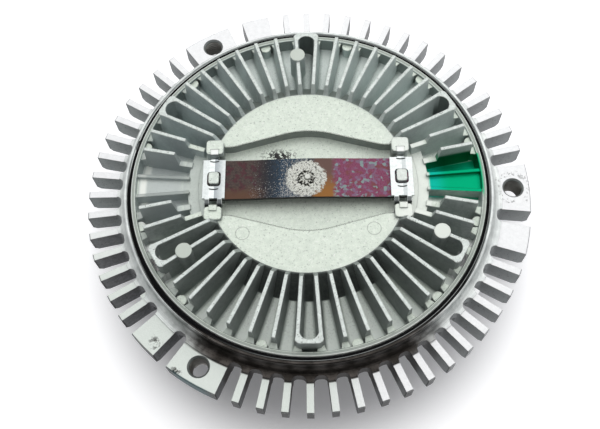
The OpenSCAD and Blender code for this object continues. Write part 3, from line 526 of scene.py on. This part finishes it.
# Painted highlight in the hollow at the rim of the left pocket.
hollow_highlight = times(net, left_pocket, up, inside(net, radius, *HOLLOW, 0.7), 0.85)
colour = lay(net, colour, hollow_highlight, 252, 255, 248)
seat_foot = times(net, between(net, x, -36.5, -38.5), inside(net, radius, *SEAT_FOOT, 0.3), up)
seat_foot = times(net, seat_foot, between(net, height, 52.4, 52.0), 0.55)
colour = lay(net, colour, seat_foot, 184, 191, 190)
# Painted light on level faces by the right seat.
lit_by_right_seat = times(net, between(net, x, 28.0, 36.0), between(net, radius, 47.5, 46.5), up, 0.7)
colour = lay(net, colour, lit_by_right_seat, 244, 248, 242)
stubs = times(net, inside(net, height, *STUB_TOPS, 0.1), between(net, radius, 65.8, 65.6), up)
colour = lay(net, colour, times(net, stubs, between(net, x, 10.0, -30.0, 0.15, 0.65)), 146, 154, 151)
# Painted highlights on two notches.
notch_highlights = most(net, *(inside(net, angle, *span, 1.0) for span in NOTCH_ANGLES))
notch_highlights = times(net, notch_highlights, inside(net, radius, *NOTCH, 0.2), between(net, height, 52.3, 52.1))
colour = lay(net, colour, notch_highlights, 255, 255, 255)
print("cover: pockets and stubs, nodes so far:", len(net.nodes))

# %% [markdown]
# ## Tops of fins, posts and lugs
# Hands, tools and cleaning rub the highest faces bright. The fins' tops are narrow and rounded, so a wider
# softening of the normal tells which way a point leans, and painted shade darkens the side towards the
# viewer.
# The posts' tops get painted light towards the right, and the bright edges are partly wear and partly painted
# highlight. The far lugs, which hold the clips, have near-white tops and painted shade in a dark crease along
# their far edge.

# %% Tops of the cover
STUD_X = 35.0 * MM
FIN_TOPS, POST_TOPS = (57.8, 59.2), (59.2, 59.5)
LUG_TOP_Y, LUG_CREASE_Y = (9.4, 11.7), (11.75, 12.2)


def past_stud(tree, x):
    return calc(tree, "SUBTRACT", calc(tree, "ABSOLUTE", x), STUD_X / MM)


soft = use(net, edges, {"Radius": 0.55 * MM})
crest = mix(net, tone, tint(202, 209, 205), tint(234, 242, 237))
crest = lay(net, crest, times(net, sand["Specks"], 0.7), 128, 135, 130)
# Painted shade on the side of each fin's top that leans towards the viewer.
crest = lay(net, crest, between(net, soft["Lean"], -0.08, -0.4), 156, 164, 161)
colour = mix(net, times(net, inside(net, height, *FIN_TOPS, 0.2), up), colour, crest)
# Painted light: the posts' tops grow lighter towards the right.
post_top = mix(net, between(net, x, -20.0, 50.0), tint(198, 206, 197), tint(228, 234, 226))
colour = mix(net, times(net, between(net, height, *POST_TOPS), up), colour, post_top)
# Bright edges: partly wear, partly painted highlight.
colour = lay(net, colour, times(net, brk["Edge"], 0.45), 234, 240, 233)
beside = calc(net, "ABSOLUTE", past_stud(net, x))
lug_top = times(net, between(net, beside, 1.6, 1.4), inside(net, y, *LUG_TOP_Y, 0.05), up)
colour = lay(net, colour, lug_top, 250, 253, 250)
# Painted shade in the crease along the lugs' far edge.
crease_shade = times(net, between(net, beside, 1.8, 1.6), inside(net, y, *LUG_CREASE_Y, 0.1))
crease_shade = times(net, crease_shade, between(net, height, 56.0, 56.4), 0.8)
colour = lay(net, colour, crease_shade, 104, 110, 104)
print("cover: tops, nodes so far:", len(net.nodes))

# %% [markdown]
# ## Small marks on the raised middle
# Two ejector pins left thin circles on the raised middle, painted shade darkens the edge of the recess where
# the casting rounds over, and crumbs of dirt lie in the recess. A circle is a narrow band of distance from a
# centre.
# The crumbs are noise that passes a threshold only where a soft patch lifts it.

# %% Marks on the cover
EJECTORS = ((24.0, -20.4), (-24.0, -21.6))
EJECTOR_R, LINE = 2.5, 0.3
PLATEAU_LEVEL, BROW_LEVEL, RECESS_LEVEL = (55.0, 56.0), (55.1, 55.6), (50.0, 51.5)
DIRT_X, DIRT_Y = (-17.0, -5.0), (9.0, 15.0)


def ring_mark(tree, far):
    return inside(tree, far, EJECTOR_R - LINE / 2, EJECTOR_R + LINE / 2, LINE / 3)


circles = most(net, *(ring_mark(net, apart(net, x, y, centre)) for centre in EJECTORS))
circles = times(net, circles, inside(net, height, *PLATEAU_LEVEL, 0.1), 0.5)
colour = lay(net, colour, circles, 120, 126, 120)
# Painted shade along the recess edge where the casting rounds over.
wide = use(net, edges, {"Radius": 1.1 * MM})
brow_shade = times(net, wide["Edge"], inside(net, height, *BROW_LEVEL, 0.1))
brow_shade = times(net, brow_shade, between(net, radius, PLATEAU_R - 0.6, PLATEAU_R - 1.6))
colour = lay(net, colour, brow_shade, 64, 68, 64)
dirt = times(net, inside(net, x, *DIRT_X, 4.5), inside(net, y, *DIRT_Y, 2.0))
dirt = times(net, dirt, inside(net, height, *RECESS_LEVEL, 0.2))
crumbs = speckle(net, own_place(net), 1150.0, 2.0, 0.6)
dirt = times(net, dirt, between(net, calc(net, "MULTIPLY_ADD", dirt, 0.14, crumbs), 0.6, 0.63))
colour = lay(net, colour, dirt, 20, 20, 20)
print("cover: marks, nodes so far:", len(net.nodes))

# %% [markdown]
# ## Green lacquer
# A dab of green lacquer covers the right pocket from the raised middle to the rim. It is clear enough to keep
# the metal's shine, so the mask raises Metallic and lowers Roughness as well as changing the colour. One
# step and part of a wall stay bare, and are taken away from the mask.

# %% Lacquer, and the cover's shader
LACQUER_ANGLES, LACQUER_RADII = (-5.6, 12.5), (45.8, 66.0)

green = times(net, inside(net, angle, *LACQUER_ANGLES, 1.4), inside(net, radius, *LACQUER_RADII, 0.6))
green = times(net, green, between(net, height, 56.0, 53.0))
bare_step = times(net, up, between(net, angle, 9.5, 10.5))
bare_wall = times(net, calc(net, "SUBTRACT", 1.0, up), between(net, angle, -2.8, -4.0, 0.0, 0.75))
green = calc(net, "SUBTRACT", green, most(net, bare_step, bare_wall), clamp=True)
lacquer = mix(net, between(net, radius, 52.0, 64.0), tint(0, 108, 78), tint(4, 132, 98))
lacquer = lay(net, lacquer, between(net, height, 48.0, 50.6), 4, 140, 98)
lacquer = lay(net, lacquer, between(net, radius, 54.0, 47.0), 14, 150, 132)
lacquer = mix(net, up, tint(8, 136, 96), lacquer)
cover_looks = {
    "Base Color": mix(net, green, colour, lacquer),
    "Roughness": between(net, green, 0.2, 0.8, 0.5, 0.38),
    "Metallic": between(net, green, 0.2, 0.8, 0.35, 1.0),
}
fill(net, shader, cover_looks)
bump(net, shader, sand["Height"], soft["Normal"], 0.12 * MM)
coat(cover_paint, "front_cover")
print("cover: finished, nodes:", len(net.nodes))

# %% [markdown]
# ## The housing
# The housing is a die casting whose fan face was turned flat, so the tops of its fins and pads are nearly
# white. Below that cut the slots and the ends of the fins keep a darker speckled skin, darkened further by
# painted shade. As on the cover, the slope of a face decides between the two, and painted light makes the
# skin lighter to the right and at the far left.

# %% Faces of the housing
housing_paint, net, shader = new_material("housing_cast", roughness=0.45, metallic=0.4, specular=0.15)
sand = use(net, grain)
brk = use(net, edges, {"Radius": 0.25 * MM})
x, y, radius, angle, height = where(net, "X", "Y", "Radius", "Angle", "Height")
up, tone = brk["Up"], sand["Tone"]
pale = mix(net, tone, tint(236, 237, 238), tint(246, 247, 248))
lower_left = times(net, between(net, y, 0.0, -40.0), between(net, x, 30.0, 0.0), 0.6)
pale = lay(net, pale, lower_left, 206, 217, 206)
# Steep faces: a speckled skin with painted shade, and painted light to the right and at the far left.
skin_and_shade = mix(net, tone, tint(92, 94, 96), tint(128, 130, 132))
skin_and_shade = lay(net, skin_and_shade, times(net, between(net, x, 10.0, 60.0), 0.65), 176, 180, 180)
lit_far_left = times(net, between(net, x, -30.0, -70.0, 0.0, 0.55), between(net, y, -25.0, 0.0))
skin_and_shade = lay(net, skin_and_shade, lit_far_left, 164, 172, 170)
skin_and_shade = lay(net, skin_and_shade, times(net, sand["Specks"], 0.6), 40, 40, 42)
colour = mix(net, up, skin_and_shade, pale)
print("housing: faces, nodes so far:", len(net.nodes))

# %% [markdown]
# ## The turned shoulder
# A lathe left fine circles on the shoulder round the cover, and hands left smudges. Noise read along the
# radius alone gives circles, and broad noise gives smudges. Painted shade darkens the shoulder a little
# towards the left. Brown soot together with painted shade darkens the near side, with a ragged limit because
# the smudges are added to the place before the mask reads it. Black painted shade on the lip's inner edge at
# the near side widens the dark gap.

# %% Shoulder of the housing
SHOULDER, SHOULDER_FOOT = (68.0, 74.1), 45.4
LIP_R = 69.1

smudge = speckle(net, own_place(net), 130.0, 4.0, 0.65)
shoulder = inside(net, radius, *SHOULDER, 0.3)
shoulder = times(net, shoulder, between(net, height, SHOULDER_FOOT, SHOULDER_FOOT + 0.4))
sheen = mix(net, between(net, smudge, 0.35, 0.65), tint(180, 184, 183), tint(210, 214, 212))
circles = put(net, "TexNoise", {"W": times(net, radius, 3.0), "Scale": 1.0}, noise_dimensions="1D").outputs[0]
sheen = lay(net, sheen, between(net, circles, 0.6, 0.4, 0.0, 0.2), 110, 114, 113)
# Painted shade: the shoulder darkens a little towards the left.
sheen = lay(net, sheen, between(net, x, 0.0, -60.0, 0.0, 0.15), 134, 139, 138)
# Near side: brown soot together with painted shade, with a ragged limit.
near = between(net, calc(net, "MULTIPLY_ADD", smudge, 24.0, y), -32.0, -52.0)
near = times(net, near, between(net, calc(net, "ABSOLUTE", x), 54.0, 32.0))
patchy = between(net, smudge, 0.4, 0.6)
sheen = mix(net, near, sheen, mix(net, patchy, tint(66, 63, 61), tint(104, 102, 100)))
# Painted shade: black on the lip's inner edge at the near side.
lip_shade = times(net, between(net, radius, LIP_R + 0.2, LIP_R), between(net, y, -20.0, -42.0))
sheen = lay(net, sheen, lip_shade, 12, 12, 12)
colour = mix(net, shoulder, colour, sheen)
print("housing: shoulder, nodes so far:", len(net.nodes))

# %% [markdown]
# ## Ends and roots of the outer fins
# The ends of the fins at the near side are turned from the light, and painted shade makes them almost black.
# Soot together with painted shade fills the roots of the slots there. Edges are worn bright everywhere else,
# with a painted highlight on them, so the wear and highlight are held back on shoulder and roots.

# %% Fin ends and roots of the housing
FIN_END_R, SLOT_END_R, SLOT_TOP = 84.2, 74.2, 45.0

steep = between(net, up, 0.5, 0.1)
# Painted shade: the fin ends at the near side turn almost black.
ends = times(net, steep, between(net, radius, FIN_END_R, FIN_END_R + 0.4))
ends = times(net, ends, between(net, x, 62.0, 36.0, 0.1, 1.0))
colour = lay(net, colour, times(net, ends, between(net, y, 0.0, -50.0, 0.0, 0.92)), 34, 36, 36)
# Soot together with painted shade in the slot roots at the near side.
in_slot = times(net, between(net, height, SLOT_TOP, SLOT_TOP - 0.6), between(net, radius, 80.0, 77.0))
roots = times(net, most(net, between(net, radius, SLOT_END_R + 0.6, SLOT_END_R), in_slot), near)
soot = mix(net, patchy, tint(48, 45, 42), tint(72, 68, 65))
soot = lay(net, soot, times(net, sand["Specks"], 0.6), 24, 22, 22)
colour = mix(net, roots, colour, soot)
# Bright edges, partly wear and partly painted highlight, held back on shoulder and roots.
wear_and_highlight = calc(net, "MULTIPLY_ADD", most(net, shoulder, roots), -0.5, 0.6)
colour = lay(net, colour, times(net, brk["Edge"], wear_and_highlight), 236, 237, 238)
print("housing: fin ends and roots, nodes so far:", len(net.nodes))

# %% [markdown]
# ## Fan holes, scuffs and the housing's shader
# The bores of the fan holes are a darker, drilled grey. The pads at the lower left are scuffed, and the one
# at the right is rubbed round its hole, as a washer would do. Fine noise lifted by a soft patch breaks each
# scuff into scratches. A trace of teal lies on the end of the near pad at the lower left. Soot and fin ends
# are duller than bare metal, so Metallic is lowered there.

# %% Bores and scuffs of the housing
HOLE_RING = 78.6 * MM
HOLE_ANGLES = [math.radians(120 * i) for i in range(3)]
HOLES = [Vector((HOLE_RING * math.cos(a), HOLE_RING * math.sin(a), 0)) for a in HOLE_ANGLES]
BORE_R, WASHER = 4.2, (5.0, 7.4)
SCUFFS = (((-55.3, -59.3), 4.0), ((-47.5, -69.8), 3.6))
TEAL_ANGLES = (-125.0, -115.0)

from_holes = [apart(net, x, y, hole / MM) for hole in HOLES]
nearest = calc(net, "MINIMUM", calc(net, "MINIMUM", from_holes[0], from_holes[1]), from_holes[2])
bores = times(net, between(net, nearest, BORE_R + 0.2, BORE_R), between(net, up, 0.6, 0.2))
colour = lay(net, colour, bores, 104, 110, 108)
washer = times(net, inside(net, from_holes[0], *WASHER, 0.6), 0.55)
patches = [between(net, apart(net, x, y, centre), reach, 0.5) for centre, reach in SCUFFS]
scuffs = most(net, *patches, washer)
rubs = speckle(net, own_place(net), 700.0, 4.0, 0.7)
scratches = between(net, calc(net, "MULTIPLY_ADD", scuffs, 0.16, rubs), 0.58, 0.7)
colour = lay(net, colour, times(net, scuffs, scratches), 64, 64, 62)
teal = times(net, inside(net, angle, *TEAL_ANGLES, 2.0), 0.6)
teal = times(net, teal, between(net, radius, FIN_END_R, FIN_END_R + 0.6))
housing_looks = {
    "Base Color": lay(net, colour, teal, 52, 104, 110),
    "Roughness": between(net, shoulder, 0.0, 1.0, 0.45, 0.42),
    "Metallic": most(net, shoulder, calc(net, "MULTIPLY_ADD", most(net, roots, ends), -0.4, 0.4)),
}
fill(net, shader, housing_looks)
bump(net, shader, sand["Height"], brk["Normal"], 0.1 * MM)
coat(housing_paint, "rear_housing")
print("housing: finished, nodes:", len(net.nodes))

# %% [markdown]
# ## The clips
# The clips are plated spring steel, bright enough to mirror what is round them. Painted reflection gives them
# dark bands where they curl, painted shade darkens thin crescents beside the stud and the legs in the shade
# of the lugs, and a painted highlight lines the legs' rolled edges. All metals start from one function, which
# gives back the net and its colour so that a cell can lay more over it.


# %% Finish of the clips
def metal(name, colour, roughness, grain_depth, *names):
    material, net, shader = new_material(name, roughness=roughness, metallic=1.0)
    sand = use(net, grain, {"Size": 0.7})
    brk = use(net, edges, {"Radius": 0.2 * MM})
    darker = (*(v * 0.8 for v in colour[:3]), 1.0)
    plated = mix(net, sand["Tone"], darker, colour)
    fill(net, shader, {"Base Color": plated})
    bump(net, shader, sand["Height"], brk["Normal"], grain_depth)
    coat(material, *names)
    return net, shader, plated


CLIPS = ("strip_clip_left", "strip_clip_right")
NICKS = ((6.9, 7.4), (-4.6, -4.1))
LEG_Y = -8.2

net, shader, plated = metal("bright_steel", tint(202, 207, 206), 0.22, 0.01 * MM, *CLIPS)
x, y = where(net, "X", "Y")
over = past_stud(net, x)
on_left = between(net, x, 0.1, -0.1)
# Painted reflection: dark bands where the plate curls.
curled = times(net, between(net, over, 1.4, 2.2), 0.25)
fading = times(net, between(net, over, -0.1, -0.3), between(net, over, -0.3, -4.4, 1.0, 0.3))
right_band = times(net, inside(net, over, 0.3, 1.8, 0.15), 0.5)
band = mix(net, on_left, right_band, most(net, fading, curled))
plated = lay(net, plated, times(net, band, 0.8), 118, 124, 128)
# Painted shade: thin dark crescents beside the stud.
bent = calc(net, "MULTIPLY_ADD", times(net, over, over), -0.1, y)
crescent_shade = most(net, *(inside(net, bent, *span, 0.1) for span in NICKS))
plated = lay(net, plated, times(net, crescent_shade, inside(net, over, -1.7, 1.7, 0.3)), 24, 26, 26)
# Painted shade on the legs under the lugs, and a painted highlight on their rolled edges.
legs = between(net, y, LEG_Y, LEG_Y - 0.4)
plated = lay(net, plated, times(net, legs, 0.9), 58, 62, 62)
rolled_highlight = use(net, edges, {"Radius": 0.35 * MM})["Edge"]
plated = lay(net, plated, times(net, legs, rolled_highlight), 206, 211, 210)
fill(net, shader, {"Base Color": plated})
print("clips:", CLIPS)

# %% [markdown]
# ## The retaining ring
# The snap ring lies deep in the gap round the cover. It shows its steel at the far side, and black painted
# shade hides it at the near side, with a thin painted highlight at the right and at the outer edge on the
# left.

# %% Finish of the ring
RING_EDGE, RING_LINE = (68.4, 68.5), (68.1, 68.22)

net, shader, bared = metal("ring_steel", tint(196, 200, 198), 0.45, 0.01 * MM, "cover_retaining_ring")
x, y, radius = where(net, "X", "Y", "Radius")
# Painted shade: the ring is black except where its steel shows at the far side and on thin highlight lines.
far_side = between(net, calc(net, "MULTIPLY_ADD", x, 0.15, y), -12.0, 2.0)
widened = calc(net, "ADD", radius, between(net, x, -10.0, -50.0, 0.0, 0.35))
unshaded = times(net, far_side, between(net, widened, *RING_EDGE))
right_highlight = times(net, inside(net, radius, *RING_LINE, 0.05), between(net, x, -40.0, 0.0), 0.6)
left_highlight = times(net, between(net, radius, *RING_EDGE), between(net, x, -30.0, -50.0))
left_highlight = times(net, left_highlight, between(net, y, -50.0, -30.0))
unshaded = most(net, unshaded, right_highlight, left_highlight)
fill(net, shader, {"Base Color": mix(net, unshaded, tint(14, 14, 15), bared)})
print("ring: nodes", len(net.nodes))

# %% [markdown]
# ## Steel, brass, rubber and plastic
# The shaft and the disc are turned, the bearing is ground, its cage is brass, the seals are black rubber
# and the wiper is plastic. Most of these lie inside, so a plain finish each is enough: a table of name,
# colour, roughness and depth of grain in millimetres, and the pieces it goes on.

# %% Finish of the smaller pieces
BEARING = ("bearing_outer_ring", "bearing_inner_ring", "bearing_balls")
BEARING += ("bearing_front_shield", "bearing_rear_shield", "bearing_circlip")
VALVE = ("separator_plate", "plate_rivets", "valve_lever", "valve_rivet")
METALS = (
    ("thread_steel", (158, 156, 152), 0.35, 0.01),
    ("pin_steel", (188, 190, 184), 0.5, 0.02, "control_pin"),
    ("shaft_steel", (178, 180, 184), 0.32, 0.02, "drive_shaft", "disc_nut"),
    ("bearing_steel", (202, 204, 208), 0.2, 0.005, *BEARING),
    ("plate_steel", (190, 192, 196), 0.3, 0.01, *VALVE),
    ("disc_cast", (196, 198, 200), 0.45, 0.05, "clutch_disc"),
    ("cage_brass", (206, 178, 112), 0.3, 0.01, "bearing_cage"),
)
SOFT_STUFF = (
    ("black_rubber", (16, 16, 17), 0.7, "cover_seal", "pin_seal"),
    ("wiper_plastic", (52, 46, 40), 0.55, "pump_wiper"),
)
for name, eight_bit, roughness, depth, *names in METALS:
    metal(name, tint(*eight_bit), roughness, depth * MM, *names)
for name, eight_bit, roughness, *names in SOFT_STUFF:
    material, net, shader = new_material(name, roughness=roughness)
    fill(net, shader, {"Base Color": tint(*eight_bit)})
    coat(material, *names)
print("materials:", len(bpy.data.materials))

# %% [markdown]
# ## The bimetal strip
# Two metals rolled together make the strip. It lies bowed on its seats, and a pale gritty crust has grown
# round the pin. One function gives the height of the bow along the strip, and another the height of the
# crust, from noise with a ragged limit. A third finds the holes for the pin and for the studs.

# %% Shape of the strip
STRIP_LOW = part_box("bimetal_strip")[0]
HALF_L, HALF_W = -STRIP_LOW.x, -STRIP_LOW.y
SEAT, THICK, BOW = 54.5 * MM, 1.4 * MM, 1.0 * MM
BOW_HALF = 30.6 * MM
STUD_HALF_L, STUD_HALF_W = 2.1 * MM, 2.6 * MM
PIN_HOLE_R = 1.15 * MM
CRUST_X, CRUST_Y, CRUST_R = -0.6 * MM, -0.3 * MM, 7.3 * MM
CRUST_EDGE, CRUST_LOW, CRUST_GRIT = 0.8, 0.06, 0.3
RAGGED_MM, RAGGED_SCALE, GRIT_SCALE = 0.9, 0.55, 1.9


def bow(x):
    return 0.0 if abs(x) > BOW_HALF else BOW * (0.5 + 0.5 * math.cos(math.pi * x / BOW_HALF))


def noise_at(x, y, scale, layer):
    return noise.noise(Vector((x / MM * scale, y / MM * scale, layer)))


def crust(x, y):
    far = math.hypot(x - CRUST_X, y - CRUST_Y) / MM
    ragged = CRUST_R / MM + RAGGED_MM * noise_at(x, y, RAGGED_SCALE, 3.0)
    depth = min(1.0, max(0.0, (ragged - far) / CRUST_EDGE))
    grit = 0.5 + 0.5 * noise_at(x, y, GRIT_SCALE, 7.0)
    return depth * (CRUST_LOW + CRUST_GRIT * grit) * MM


def in_hole(face):
    middle = face.calc_center_median()
    by_stud = abs(abs(middle.x) - STUD_X) < STUD_HALF_L and abs(middle.y) < STUD_HALF_W
    return by_stud or math.hypot(middle.x, middle.y) < PIN_HOLE_R


print("strip in mm:", [round(2 * v / MM, 1) for v in (HALF_L, HALF_W)], "bow:", round(bow(0) / MM, 2))

# %% [markdown]
# ## Two bowed halves
# The crust is real relief, so the strip is a fine grid, extruded once to give it a lower face. Each half
# is bowed between the housing, where the clip holds it, and the pin, which it lifts. A map of the flat shape
# is kept on it, so that the colours bend with it.

# %% Make the strip in two halves
CELL = 0.25 * MM
MAP_SPAN = 100
SHARP = math.radians(40)


def strip_half(name, sign):
    shape = bmesh.new()
    columns, rows = round(HALF_L / CELL), round(2 * HALF_W / CELL)
    grid = bmesh.ops.create_grid(shape, x_segments=columns, y_segments=rows, size=1.0)
    for v in grid["verts"]:
        v.co = Vector((sign * (v.co.x + 1) / 2 * HALF_L, v.co.y * HALF_W, 0))
    bmesh.ops.delete(shape, geom=[face for face in shape.faces if in_hole(face)], context="FACES")
    under = bmesh.ops.extrude_face_region(shape, geom=shape.faces[:])["geom"]
    lower = {v for v in under if isinstance(v, bmesh.types.BMVert)}
    flat = shape.loops.layers.uv.new("flat_map")
    for face in shape.faces:
        for loop in face.loops:
            loop[flat].uv = [v / MM / MAP_SPAN + 0.5 for v in loop.vert.co.xy]
    for v in shape.verts:
        x, y = v.co.x, v.co.y
        v.co.z = SEAT + bow(x) + (0.0 if v in lower else THICK + crust(x, y))
    bmesh.ops.recalc_face_normals(shape, faces=shape.faces[:])
    mesh = to_mesh(name, shape)
    mesh.shade_smooth()
    mesh.set_sharp_from_angle(angle=SHARP)
    half = add_object(name, mesh)
    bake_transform(half)
    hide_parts("bimetal_strip")
    return half


halves = [strip_half("bimetal_strip_left", -1), strip_half("bimetal_strip_right", 1)]
print("strip faces:", [len(h.data.polygons) for h in halves])

# %% [markdown]
# ## Heat tints
# Years of heat have tinted the strip: brown and indigo on the left, amber and magenta on the right. Each
# tint is mixed by itself, and the four are then joined along the strip. Stir adds noise to a length before a
# mask reads it, so no border is straight. The map is read in millimetres, so the tints bend with the strip.


# %% Tint the strip
def stir(tree, value, waver, reach):
    return calc(tree, "MULTIPLY_ADD", waver, reach, calc(tree, "SUBTRACT", value, reach / 2))


strip_paint, net, shader = new_material("strip_metal", roughness=0.45, specular=0.2)
flat = put(net, "UVMap", uv_map="flat_map").outputs[0]
centred = put(net, "VectorMath", {0: flat, 1: (0.5, 0.5, 0.0)}, operation="SUBTRACT").outputs[0]
spread = put(net, "VectorMath", {0: centred, 1: (MAP_SPAN,) * 3}, operation="MULTIPLY").outputs[0]
x, y = split(net, spread)[:2]
clouds = {"Vector": spread, "Scale": 0.35, "Detail": 4.0, "Roughness": 0.6}
blur, drift = put(net, "TexNoise", clouds).outputs[:2]
grit = speckle(net, spread, 2.2, 3.0, 0.6)
soot = speckle(net, spread, 1.1, 3.0, 0.7)

brown = mix(net, between(net, grit, 0.4, 0.6), tint(72, 60, 58), tint(96, 80, 74))
brown = lay(net, brown, between(net, blur, 0.5, 0.56), 86, 48, 54)
brown = lay(net, brown, times(net, between(net, soot, 0.54, 0.6), 0.7), 48, 42, 40)
brown = lay(net, brown, between(net, stir(net, y, blur, 5.0), -2.0, -7.0), 104, 74, 56)
bluer = between(net, stir(net, x, grit, 5.0), -17.0, -8.0)
indigo = mix(net, bluer, tint(32, 33, 40), tint(46, 70, 90))
indigo = lay(net, indigo, times(net, between(net, soot, 0.5, 0.57), 0.8), 26, 32, 38)
warmer = between(net, stir(net, y, grit, 6.0), 3.5, -5.5)
amber = mix(net, warmer, tint(116, 88, 80), tint(168, 114, 54))
rose = mix(net, between(net, grit, 0.35, 0.65), tint(132, 66, 96), tint(162, 90, 122))
rose = lay(net, rose, between(net, blur, 0.52, 0.6), 138, 78, 84)
drifted = put(net, "VectorMath", {0: spread, 1: drift}, operation="ADD").outputs[0]
cells = put(net, "TexVoronoi", {"Vector": drifted, "Scale": 0.95}).outputs["Color"]
chance = split(net, cells)[0]
rose = lay(net, rose, times(net, between(net, chance, 0.58, 0.7), 0.65), 146, 128, 156)
rose = lay(net, rose, times(net, between(net, chance, 0.8, 0.88), 0.8), 152, 182, 178)

wavy = stir(net, x, blur, 6.0)
colour = mix(net, between(net, wavy, -22.0, -14.0), brown, indigo)
colour = mix(net, between(net, wavy, 0.0, 4.0), colour, amber)
colour = mix(net, between(net, wavy, 8.5, 11.0), colour, rose)
print("strip: tints, nodes so far:", len(net.nodes))

# %% [markdown]
# ## Dots and crust
# Pale dots are strewn left of the pin, and the crust round it is lime-white with a broken dark ring. The
# mask of the crust is a distance from its middle, stirred by all three noises so that it ends raggedly.
# Painted shade makes the strip's cut edges and its underside nearly black, and the crust is rougher than the
# tinted metal.

# %% Dots and crust of the strip
CRUST_LIMIT, DARK_RING = (7.5, 7.2), (1.6, 3.4)

thick_dots = inside(net, x, -10.5, 0.0, 1.5)
strewn = calc(net, "MULTIPLY_ADD", thick_dots, 0.08, between(net, y, 1.0, -5.0, -0.04, 0.008))
mingled = calc(net, "MULTIPLY_ADD", grit, 0.6, times(net, soot, 0.4))
dots = between(net, calc(net, "ADD", strewn, mingled), 0.58, 0.62)
colour = lay(net, colour, times(net, dots, inside(net, x, -21.0, 0.0, 2.0), 0.75), 206, 206, 204)
far = apart(net, x, y, (CRUST_X / MM, CRUST_Y / MM))
for waver, reach in ((blur, 2.4), (soot, 5.0), (grit, 2.4)):
    far = stir(net, far, waver, reach)
crusted = between(net, far, *CRUST_LIMIT)
lime = mix(net, between(net, grit, 0.36, 0.47), tint(138, 136, 114), tint(252, 254, 246))
ringed = calc(net, "MULTIPLY_ADD", inside(net, far, *DARK_RING, 0.5), 0.11, soot)
lime = lay(net, lime, between(net, ringed, 0.56, 0.6), 24, 24, 22)
colour = mix(net, crusted, colour, lime)
normal_up = split(net, put(net, "NewGeometry").outputs["Normal"])[2]
# Painted shade: faces that don't look up turn nearly black.
strip_looks = {
    "Base Color": mix(net, between(net, normal_up, 0.2, 0.5), tint(18, 15, 14), colour),
    "Roughness": between(net, crusted, 0.0, 1.0, 0.45, 0.85),
}
fill(net, shader, strip_looks)
for half in halves:
    half.data.materials.append(strip_paint)
print("strip: finished, nodes:", len(net.nodes))

# %% [markdown]
# ## Threads in the fan holes
# The fan is held by three M8 screws. In CAD the holes are plain at the drilled size, so a tap's thread is
# added as a fine ridge that winds down the wall. Its profile is a wedge with a narrow flat crest, spun round
# the hole and lowered by a pitch in every turn. Its foot is sunk a little into the wall, so no gap shows.

# %% Wind the threads
PITCH, HOLE_R = 1.25 * MM, 3.4 * MM
TURNS, STEPS = 6.4, 40
THREAD_TOP = FAN_FACE - 1.3 * MM
FOOT_R, CREST_R = HOLE_R + 0.03 * MM, HOLE_R - 0.3 * MM
FOOT_HALF, CREST_HALF = 0.5 * MM, 0.08 * MM
PROFILE = ((FOOT_R, FOOT_HALF), (CREST_R, CREST_HALF), (CREST_R, -CREST_HALF), (FOOT_R, -FOOT_HALF))


def thread(name, centre):
    shape = bmesh.new()
    points = [shape.verts.new(centre + Vector((r, 0, THREAD_TOP + z))) for r, z in PROFILE]
    lines = [shape.edges.new((points[i], points[i + 1])) for i in range(3)]
    bmesh.ops.spin(
        shape,
        geom=points + lines,
        cent=centre,
        axis=(0, 0, 1),
        dvec=(0, 0, -PITCH / STEPS),
        angle=2 * math.pi * TURNS,
        steps=round(TURNS * STEPS),
        use_merge=False,
    )
    bmesh.ops.remove_doubles(shape, verts=shape.verts[:], dist=1e-6)
    bmesh.ops.recalc_face_normals(shape, faces=shape.faces[:])
    piece = add_object(name, to_mesh(name, shape))
    piece.data.materials.append(bpy.data.materials["thread_steel"])
    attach(piece, "housing")
    return piece


threads = [thread(f"fan_hole_thread_{i + 1}", hole) for i, hole in enumerate(HOLES)]
print("thread height in mm:", round(threads[0].dimensions.z / MM, 2))
